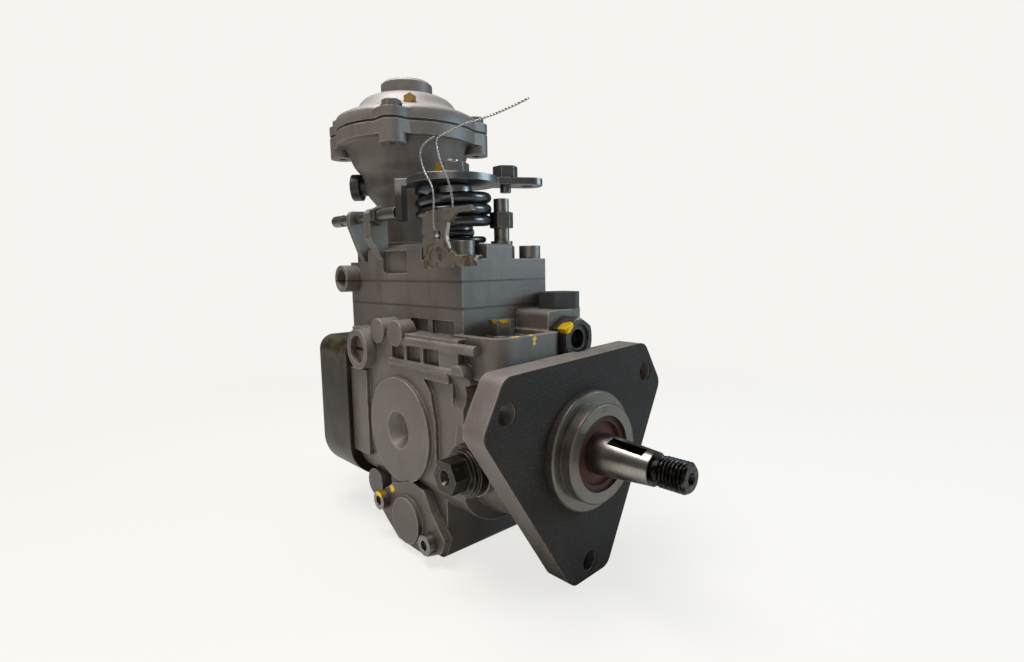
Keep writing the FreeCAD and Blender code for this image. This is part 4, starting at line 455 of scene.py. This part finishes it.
def dress_nodes():
    """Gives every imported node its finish."""
    paint = cast_paint("cast_paint")
    black = black_steel("black_oxide")
    steel = shaft_steel("shaft_steel")
    make_drive_shaft(steel)
    varnish = spring_black("spring_varnish")
    make_return_springs(varnish)
    make_inner_springs(varnish)
    make_boost_cover(paint)
    make_boost_fittings()
    ground = plain_metal("ground_steel", (0.45, 0.44, 0.42))
    finishes = {
        "pump_housing": housing_paint("housing_paint", TRAY_MARKS),
        "governor_cover": paint,
        "governor_spacer": paint,
        "boost_housing": paint,
        "boost_cover": paint,
        "timer_covers": cast_paint("timer_cover_paint", [((-90.5, -41.0, -31.5), 2.8)]),
        "boost_screws": paint,
        "distributor_head": head_steel("head_oxide"),
        "flange_gasket": gasket_sheet("gasket_fibre"),
        "shaft_seal": seal_rubber("seal_rubber"),
        "drive_shaft": steel,
        "lock_bolt": black_steel("lock_black", (0.028, 0.024, 0.020), 0.30, [((-26, -46, 2), 0.0)]),
        "governor_shaft": black_steel("nut_steel", (0.06, 0.055, 0.05), 0.32, [((-15, 4.0, 50.0), 3.6)]),
        "inlet_cap": plain_dull("cap_plastic", (0.028, 0.030, 0.032), 0.5),
        "timer_screws": bright_zinc("timer_zinc", (0.16, 0.15, 0.14), 0.3, [((-96.6, -43.0, -33.0), 3.6)]),
        "timer_gaskets": plain_dull("gasket_paper", (0.05, 0.045, 0.038)),
        "socket_screws": bright_zinc("cap_screw_grey", (0.16, 0.15, 0.13), 0.42),
        "pivot_screws": bright_zinc("pivot_zinc", (0.16, 0.135, 0.09), 0.4),
        "hex_screws": bright_zinc("hex_zinc", (0.15, 0.14, 0.12), 0.36, BOLT_MARKS),
        "throttle_lever": bright_zinc("lever_zinc", (0.12, 0.12, 0.12), 0.36, dark_below=109.0),
        "lever_shaft": bright_zinc("lever_nut_zinc", (0.22, 0.22, 0.21), 0.34, [((-66, -24, 119.5), 4.4)]),
        "return_springs": varnish,
        "lock_tag": bright_zinc("tag_zinc", (0.25, 0.225, 0.185), 0.42, rusty=True, edges=0.2),
        "boost_fittings": black,
        "centre_plug": black,
        "delivery_valve_holders": bright_zinc("holder_zinc", (0.22, 0.21, 0.18), 0.35),
        "solenoid_body": bright_zinc("solenoid_zinc", (0.24, 0.23, 0.20), 0.34),
        "boost_diaphragm": plain_dull("diaphragm_rubber", (0.012, 0.012, 0.012), 0.7),
        "shaft_bush": plain_metal("bush_bronze", (0.36, 0.22, 0.10), 0.45),
        "roller_ring": plain_metal("ring_steel", (0.16, 0.15, 0.15), 0.4),
        "flyweight_cage": plain_metal("cage_steel", (0.20, 0.19, 0.18), 0.4),
        "governor_levers": plain_metal("lever_steel", (0.33, 0.32, 0.28), 0.4),
        "lever_bracket": plain_metal("bracket_steel", (0.34, 0.32, 0.27), 0.42),
    }
    for name in ("timing_spring", "plunger_springs", "governor_spring", "boost_spring"):
        finishes[name] = varnish
    for name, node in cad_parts.items():
        finish = finishes.get(name, ground)
        node.data.materials.clear()
        node.data.materials.append(finish.material)


# Drive shaft, turned from a bar, with a real thread

NECK_R = 4.9
NECK_END = 35.2
SHAFT_LINE = [(-62.0, 13.0), (-60.0, 13.0), (-60.0, 10.0), (-0.8, 10.0), (0.4, 8.5), (8.5, 8.5),
              (33.0, 6.5), (33.0, NECK_R), (NECK_END, NECK_R)]
THREAD_START = 35.3
THREAD_SLOPE = 1.35
THREAD_FLAT = 0.12
THREAD_PITCH = 1.5
THREAD_FROM = 36.0
THREAD_END = 47.1
THREAD_OUT = 6.0
THREAD_ROOT = 5.05
CENTRE_MOUTH_R = 2.4
CENTRE_FLOOR_R = 1.2
CENTRE_DEPTH = 2.0
SHAFT_SIDES = 64
KEYWAY_TURN = math.radians(22.0)
KEYWAY_AT = 22.0
KEYWAY_HEIGHT = 14.0
KEYWAY_R = 10.5
KEYWAY_WIDTH = 4.2
CLAW_PLACE = (-64.5, 9.4)
CLAW_SIZE = (5.2, 6.6, 7.0)


def thread_radius(x, turn):
    """Radius of the threaded end at x, for a part of a turn from 0 to 1."""
    across = ((x - THREAD_FROM) / THREAD_PITCH - turn) % 1.0
    height = min(max((1.0 - abs(2.0 * across - 1.0)) * THREAD_SLOPE - THREAD_FLAT, 0.0), 1.0)
    grow = THREAD_ROOT + (THREAD_OUT - THREAD_ROOT) * height
    start = NECK_R + (x - NECK_END) * 1.4
    end = THREAD_OUT - max(0.0, x - THREAD_END + 1.2)
    return min(grow, start, end)


def make_drive_shaft(finish):
    sections = [[(x, r)] * SHAFT_SIDES for x, r in SHAFT_LINE]
    x = THREAD_START
    while x <= THREAD_END + 1e-6:
        sections.append([(x, thread_radius(x, k / SHAFT_SIDES)) for k in range(SHAFT_SIDES)])
        x += THREAD_PITCH / 12
    sections.append([(THREAD_END, CENTRE_MOUTH_R)] * SHAFT_SIDES)
    sections.append([(THREAD_END - CENTRE_DEPTH, CENTRE_FLOOR_R)] * SHAFT_SIDES)
    rings = []
    for section in sections:
        ring = []
        for k, (along, radius) in enumerate(section):
            angle = 2 * math.pi * k / SHAFT_SIDES
            ring.append(Vector((along, radius * math.cos(angle), radius * math.sin(angle))))
        rings.append(ring)
    shaft = skinned("turned_shaft", rings)
    rest_mode()
    height = KEYWAY_HEIGHT * MM
    place = (KEYWAY_AT * MM, -height * math.sin(KEYWAY_TURN), height * math.cos(KEYWAY_TURN))
    bpy.ops.mesh.primitive_cylinder_add(vertices=96, radius=KEYWAY_R * MM, depth=KEYWAY_WIDTH * MM,
                                        location=place, rotation=(KEYWAY_TURN - math.pi / 2, 0, 0))
    cut_away(shaft, bpy.context.object)
    for side in (1, -1):
        add_claw(shaft, side)
    finish_piece(shaft, finish, "shaft", "drive_shaft")


def add_claw(shaft, side):
    """Driving claw behind the shaft's inner flange."""
    rest_mode()
    along, across = CLAW_PLACE
    bpy.ops.mesh.primitive_cube_add(size=1.0, location=(along * MM, side * across * MM, 0))
    claw = bpy.context.object
    claw.scale = tuple(size * MM for size in CLAW_SIZE)
    bpy.ops.object.transform_apply(location=True, rotation=True, scale=True)
    pick(claw)
    shaft.select_set(True)
    bpy.context.view_layer.objects.active = shaft
    bpy.ops.object.join()


# Boost compensator's cover and fittings

BOOST_AXIS = Vector((-120.8, -2.2, 0.0))
RIM_R = 37.5
LOBE_R = 6.4
SCREW_CIRCLE_R = 36.0
COVER_BASE = 146.2
LOBE_TOP = 150.7
DOME_LINE = [(37.5, 150.7), (36.6, 152.4), (33.8, 153.9), (30.6, 155.0), (27.9, 156.3), (26.0, 158.2),
             (24.6, 160.4), (22.6, 162.4), (20.0, 163.6), (17.0, 164.1), (13.4, 164.2), (13.4, 171.2),
             (11.9, 172.6)]
COVER_SIDES = 144
POCKET_R = 5.2
POCKET_HEIGHT = 12.0


def lobed_rim(turn):
    """Radius of the cover's rim, which runs out into a lobe at each of four screws."""
    half = SCREW_CIRCLE_R * math.sqrt(0.5) + LOBE_R
    from_lobe = abs((turn % 90.0) - 45.0)
    to_side = math.radians(45.0 - from_lobe)
    corner = math.degrees(math.atan2(SCREW_CIRCLE_R * math.sqrt(0.5), half))
    if 45.0 - from_lobe < corner:
        return max(RIM_R, half / math.cos(to_side))
    off = math.radians(from_lobe)
    chord = LOBE_R ** 2 - (SCREW_CIRCLE_R * math.sin(off)) ** 2
    return SCREW_CIRCLE_R * math.cos(off) + math.sqrt(max(chord, 0.0))


def make_boost_cover(finish):
    rim = [lobed_rim(360.0 * k / COVER_SIDES) for k in range(COVER_SIDES)]
    rings = [[(r, z) for r in rim] for z in (COVER_BASE, LOBE_TOP)]
    rings += [[(r, z)] * COVER_SIDES for r, z in DOME_LINE]
    cover = lathe("boost_lid", rings, BOOST_AXIS)
    for k in range(4):
        angle = math.radians(45 + 90 * k)
        place = BOOST_AXIS + Vector((math.cos(angle), math.sin(angle), 0)) * SCREW_CIRCLE_R
        rest_mode()
        middle = place + Vector((0, 0, LOBE_TOP + POCKET_HEIGHT / 2))
        bpy.ops.mesh.primitive_cylinder_add(vertices=40, radius=POCKET_R * MM, depth=POCKET_HEIGHT * MM,
                                            location=middle * MM)
        cut_away(cover, bpy.context.object)
    finish_piece(cover, finish, "housing", "boost_cover")


def lathe(name, rings, axis):
    """Closed solid through rings of (radius, height) about an upright axis, lowest ring first."""
    turned = []
    for ring in rings:
        points = []
        for k, (radius, height) in enumerate(ring):
            angle = 2 * math.pi * k / len(ring)
            points.append(axis + Vector((radius * math.cos(angle), radius * math.sin(angle), height)))
        turned.append(points)
    return skinned(name, turned)


def new_piece(name, verts, faces):
    mesh = bpy.data.meshes.new(name)
    mesh.from_pydata(verts, [], faces)
    piece = bpy.data.objects.new(name, mesh)
    bpy.context.scene.collection.objects.link(piece)
    return piece


def skinned(name, rings):
    """Closed solid through rings of points in millimetres, all with the same count."""
    sides = len(rings[0])
    verts = [point * MM for ring in rings for point in ring]
    faces = []
    for i in range(len(rings) - 1):
        for k in range(sides):
            a = i * sides + k
            b = i * sides + (k + 1) % sides
            faces.append((a, b, b + sides, a + sides))
    faces.append(tuple(reversed(range(sides))))
    last = (len(rings) - 1) * sides
    faces.append(tuple(last + k for k in range(sides)))
    return new_piece(name, verts, faces)


def cut_away(piece, cutter):
    pick(piece)
    cut = piece.modifiers.new("cut", "BOOLEAN")
    cut.operation = "DIFFERENCE"
    cut.object = cutter
    bpy.ops.object.modifier_apply(modifier=cut.name)
    bpy.data.objects.remove(cutter)


def finish_piece(piece, finish, body, node):
    pick(piece)
    bpy.ops.object.shade_smooth_by_angle(angle=math.radians(35))
    piece.data.materials.clear()
    piece.data.materials.append(finish.material)
    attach(piece, body)
    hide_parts(node)


# Vertices, radius, start and end of each cylinder, from the compensator's axis outwards
VENT_PARTS = [(32, 2.2, 24.0, 29.0), (6, 3.3, 27.4, 30.6), (32, 1.6, 30.6, 31.6)]
VENT_LEVEL = 156.4
VENT_TOWARD = (0.86, -0.51, 0)
PLUG_PARTS = [(48, 4.5, 20.0, 27.0), (48, 7.0, 26.5, 31.2)]
PLUG_LEVEL = 119.5
PLUG_TOWARD = (-0.72, -0.69, 0)


def make_fitting(name, parts, level, toward, finish):
    """Fitting that sticks out of the compensator at level, made of the cylinders in parts."""
    toward = Vector(toward).normalized()
    turn = toward.to_track_quat("Z", "Y").to_euler()
    made = []
    for vertices, radius, start, end in parts:
        rest_mode()
        middle = BOOST_AXIS + Vector((0, 0, level)) + toward * (start + end) / 2
        bpy.ops.mesh.primitive_cylinder_add(vertices=vertices, radius=radius * MM, depth=(end - start) * MM,
                                            location=middle * MM, rotation=turn)
        bpy.ops.object.transform_apply(location=True, rotation=True, scale=True)
        made.append(bpy.context.object)
    rest_mode()
    for piece in made:
        piece.select_set(True)
    bpy.context.view_layer.objects.active = made[0]
    bpy.ops.object.join()
    made[0].name = name
    finish_piece(made[0], finish, "housing", "boost_fittings")


def make_boost_fittings():
    brass = plain_metal("vent_brass", (0.50, 0.33, 0.10), 0.3)
    black = plain_dull("plug_black", (0.012, 0.011, 0.010), 0.42)
    make_fitting("boost_vent", VENT_PARTS, VENT_LEVEL, VENT_TOWARD, brass)
    make_fitting("boost_plug", PLUG_PARTS, PLUG_LEVEL, PLUG_TOWARD, black)


# Return springs of the throttle lever: thick coils above, thinner ones below

SPRING_AXIS = Vector((-62.0, -18.0, 0.0))
# Radius of the coils, radius of the wire, height of the first coil, pitch and turns
COILS = [(14.7, 2.4, 94.3, 5.0, 3.0), (12.9, 1.5, 86.6, 3.0, 1.25)]
COIL_STEPS = 72
COIL_SIDES = 14


def add_coil(verts, faces, base, along, across, coil_r, wire_r, pitch, turns):
    """Round wire wound about along from base, with flat ends, added to verts and faces."""
    first = len(verts)
    count = int(COIL_STEPS * turns) + 1
    side = along.cross(across)
    for i in range(count):
        angle = 2 * math.pi * i / COIL_STEPS
        outward = across * math.cos(angle) + side * math.sin(angle)
        middle = base + outward * coil_r + along * (pitch * i / COIL_STEPS)
        for k in range(COIL_SIDES):
            around = 2 * math.pi * k / COIL_SIDES
            verts.append((middle + (outward * math.cos(around) + along * math.sin(around)) * wire_r) * MM)
    for i in range(count - 1):
        for k in range(COIL_SIDES):
            a = first + i * COIL_SIDES + k
            b = first + i * COIL_SIDES + (k + 1) % COIL_SIDES
            faces.append((b, a, a + COIL_SIDES, b + COIL_SIDES))
    faces.append(tuple(first + k for k in range(COIL_SIDES)))
    last = first + (count - 1) * COIL_SIDES
    faces.append(tuple(last + k for k in reversed(range(COIL_SIDES))))


def spring_piece(name, verts, faces, finish, node):
    springs = new_piece(name, verts, faces)
    finish_piece(springs, finish, "housing", node)
    return springs


def make_return_springs(finish):
    verts = []
    faces = []
    for coil_r, wire_r, start, pitch, turns in COILS:
        base = SPRING_AXIS + Vector((0, 0, start))
        add_coil(verts, faces, base, Vector((0, 0, 1)), Vector((0, -1, 0)), coil_r, wire_r, pitch, turns)
    spring_piece("lever_springs", verts, faces, finish, "return_springs")


# Springs inside

X, Y, Z = 0, 1, 2

# Piece, node, joint, its travel, axis, radius of the coils, of the wire, turns, and sides of the box along Y
INNER_SPRINGS = [
    ("boost_coil", "boost_spring", "boost_pin_slide", 6.0, Z, 9.0, 0.9, 5, (0,)),
    ("timing_coil", "timing_spring", "timing_piston_slide", 8.0, Y, 5.6, 0.8, 5, (0,)),
    ("plunger_coils", "plunger_springs", "plunger_stroke", 2.2, X, 4.6, 0.8, 4, (1, -1)),
]


def make_inner_springs(finish):
    """Coils that fill each node's box along its axis, wound from its low end."""
    for name, node, joint, travel, axis, coil_r, wire_r, turns, sides in INNER_SPRINGS:
        low, high = (Vector(corner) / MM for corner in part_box(node))
        along = Vector([float(i == axis) for i in (X, Y, Z)])
        across = Vector([float(i == (axis + 1) % 3) for i in (X, Y, Z)])
        length = high[axis] - low[axis]
        anchor = (low + high) / 2
        anchor[axis] = low[axis]
        verts = []
        faces = []
        spread = (high[Y] - low[Y]) / 2 - coil_r - wire_r
        for side in sides:
            base = anchor + Vector((0, side * spread, 0)) + along * wire_r
            add_coil(verts, faces, base, along, across, coil_r, wire_r, (length - 2 * wire_r) / turns, turns)
        piece = spring_piece(name, verts, faces, finish, node)
        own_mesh(piece)


# Seal wire

def route_line(name, points):
    """Smooth open line with the route's points as its control points."""
    curve = bpy.data.curves.new(name, "CURVE")
    curve.dimensions = "3D"
    curve.resolution_u = 24
    spline = curve.splines.new("NURBS")
    spline.points.add(len(points) - 1)
    for point, place in zip(spline.points, points):
        point.co = (*(Vector(place) * MM), 1.0)
    spline.order_u = 3
    spline.use_endpoint_u = True
    line = bpy.data.objects.new(name, curve)
    bpy.context.scene.collection.objects.link(line)
    return line


def twisted_wire(name, points):
    """Two strands twisted round the route's line."""
    line = route_line(name + "_line", points)
    bpy.context.view_layer.update()
    read = bpy.data.meshes.new_from_object(line.evaluated_get(bpy.context.evaluated_depsgraph_get()))
    path = [v.co.copy() for v in read.vertices]
    bpy.data.objects.remove(line)
    bpy.data.meshes.remove(read)
    steps = resample(path, WIRE_STEP)
    strand_r = WIRE_D * 0.27
    verts = []
    faces = []
    sides = STRAND_SIDES
    for phase in (0.0, math.pi):
        base = len(verts)
        side = Vector((0.0, 1.0, 0.0))
        travelled = 0.0
        for i, place in enumerate(steps):
            ahead = steps[min(i + 1, len(steps) - 1)] - steps[max(i - 1, 0)]
            ahead.normalize()
            side = (side - ahead * side.dot(ahead)).normalized()
            up = ahead.cross(side)
            if i:
                travelled += (steps[i] - steps[i - 1]).length
            turn = phase + 2 * math.pi * travelled / WIRE_PITCH
            middle = place + (side * math.cos(turn) + up * math.sin(turn)) * (WIRE_D / 2 - strand_r)
            for k in range(sides):
                angle = 2 * math.pi * k / sides
                verts.append(middle + (side * math.cos(angle) + up * math.sin(angle)) * strand_r)
            if i:
                for k in range(sides):
                    a = base + (i - 1) * sides + k
                    b = base + (i - 1) * sides + (k + 1) % sides
                    faces.append((a, b, b + sides, a + sides))
        faces.append(tuple(base + k for k in reversed(range(sides))))
        last = base + (len(steps) - 1) * sides
        faces.append(tuple(last + k for k in range(sides)))
    wire = new_piece(name, verts, faces)
    pick(wire)
    bpy.ops.object.shade_smooth()
    return wire, path


def resample(path, step):
    """Points along the path, step apart."""
    out = [path[0]]
    left = step
    for a, b in zip(path, path[1:]):
        run = (b - a).length
        along = left
        while along <= run:
            out.append(a.lerp(b, along / run))
            along += step
        left = along - run
    out.append(path[-1])
    return out


def make_seal_wire():
    finish = bright_zinc("wire_zinc", (0.24, 0.24, 0.235), 0.35, edges=0.05)
    for name, points in (("seal_wire_left", LEFT_LEG), ("seal_wire_right", RIGHT_LEG)):
        wire, path = twisted_wire(name, points)
        wire.data.materials.append(finish.material)
        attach(wire, "housing")
        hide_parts("seal_wire")


# Camera, light and floor

BACKGROUND = (0.915, 0.903, 0.871, 1.0)
FLOOR_GAP = 0.5 * MM
WORLD_LIGHT = 0.15
# Name, place, target, size, watts and colour
LAMPS = [
    ("top_softbox", (-0.15, -0.17, 0.78), (-0.06, 0.0, 0.05), 0.5, 11.0, (1.0, 0.97, 0.94)),
    ("front_softbox", (0.35, -0.65, 0.35), (-0.06, 0.0, 0.03), 0.5, 1.45, (1.0, 0.94, 0.87)),
    ("cool_side", (0.45, 0.55, 0.30), (-0.04, 0.0, 0.08), 0.35, 3.8, (0.62, 0.86, 1.0)),
]


def make_camera():
    forward = Vector((-math.cos(VIEW_YAW) * math.cos(VIEW_PITCH), math.sin(VIEW_YAW) * math.cos(VIEW_PITCH),
                      -math.sin(VIEW_PITCH)))
    right = forward.cross(Vector((0, 0, 1))).normalized()
    down = forward.cross(right)
    side = right * math.cos(VIEW_ROLL) + down * math.sin(VIEW_ROLL)
    under = down * math.cos(VIEW_ROLL) - right * math.sin(VIEW_ROLL)
    data = bpy.data.cameras.new("camera")
    data.sensor_width = 36.0
    data.lens = VIEW_LENS
    data.clip_start = 0.01
    camera = bpy.data.objects.new("camera", data)
    bpy.context.scene.collection.objects.link(camera)
    turned = Matrix((side, -under, -forward)).transposed().to_4x4()
    camera.matrix_world = Matrix.Translation(VIEW_PLACE) @ turned
    bpy.context.scene.camera = camera


def make_light():
    world = bpy.data.worlds.new("studio")
    bpy.context.scene.world = world
    world.use_nodes = True
    tree = world.node_tree
    ground = tree.nodes["Background"]
    ground.inputs["Color"].default_value = (0.82, 0.84, 0.88, 1.0)
    ground.inputs["Strength"].default_value = WORLD_LIGHT
    shown = tree.nodes.new("ShaderNodeBackground")
    shown.inputs["Color"].default_value = BACKGROUND
    rays = tree.nodes.new("ShaderNodeLightPath")
    choice = tree.nodes.new("ShaderNodeMixShader")
    tree.links.new(rays.outputs["Is Camera Ray"], choice.inputs["Fac"])
    tree.links.new(ground.outputs[0], choice.inputs[1])
    tree.links.new(shown.outputs[0], choice.inputs[2])
    tree.links.new(choice.outputs[0], tree.nodes["World Output"].inputs["Surface"])
    for lamp in LAMPS:
        add_lamp(*lamp)


def add_lamp(name, place, target, size, watts, colour):
    data = bpy.data.lights.new(name, "AREA")
    data.shape = "SQUARE"
    data.size = size
    data.energy = watts
    data.color = colour
    lamp = bpy.data.objects.new(name, data)
    bpy.context.scene.collection.objects.link(lamp)
    lamp.location = place
    lamp.rotation_mode = "QUATERNION"
    lamp.rotation_quaternion = (Vector(target) - Vector(place)).to_track_quat("-Z", "Y")


def make_floor():
    rest_mode()
    bpy.ops.mesh.primitive_plane_add(size=6.0, location=(0, 0, CAD_LOW.z - FLOOR_GAP))
    floor = bpy.context.object
    floor.name = "floor"
    finish = Finish("floor_paper", (0.70, 0.69, 0.665), 0.9)
    rays = finish.node("ShaderNodeLightPath", {}, {}, "Is Camera Ray")
    glow = finish.node("ShaderNodeEmission", {}, {"Color": BACKGROUND, "Strength": 1.0})
    far = finish.away((-70.0, 0.0, -57.0)).above(0.42, 0.22)
    paper = Value(finish, finish.shader.outputs[0])
    shade = finish.node("ShaderNodeMixShader", {}, {0: rays * (far * 0.18 + 0.82), 1: paper, 2: glow})
    finish.tree.links.new(shade.socket, finish.tree.nodes["Material Output"].inputs["Surface"])
    floor.data.materials.append(finish.material)


def main():
    bpy.context.scene.view_settings.view_transform = "Standard"
    make_camera()
    make_seal_wire()
    make_light()
    make_floor()
    dress_nodes()


main()
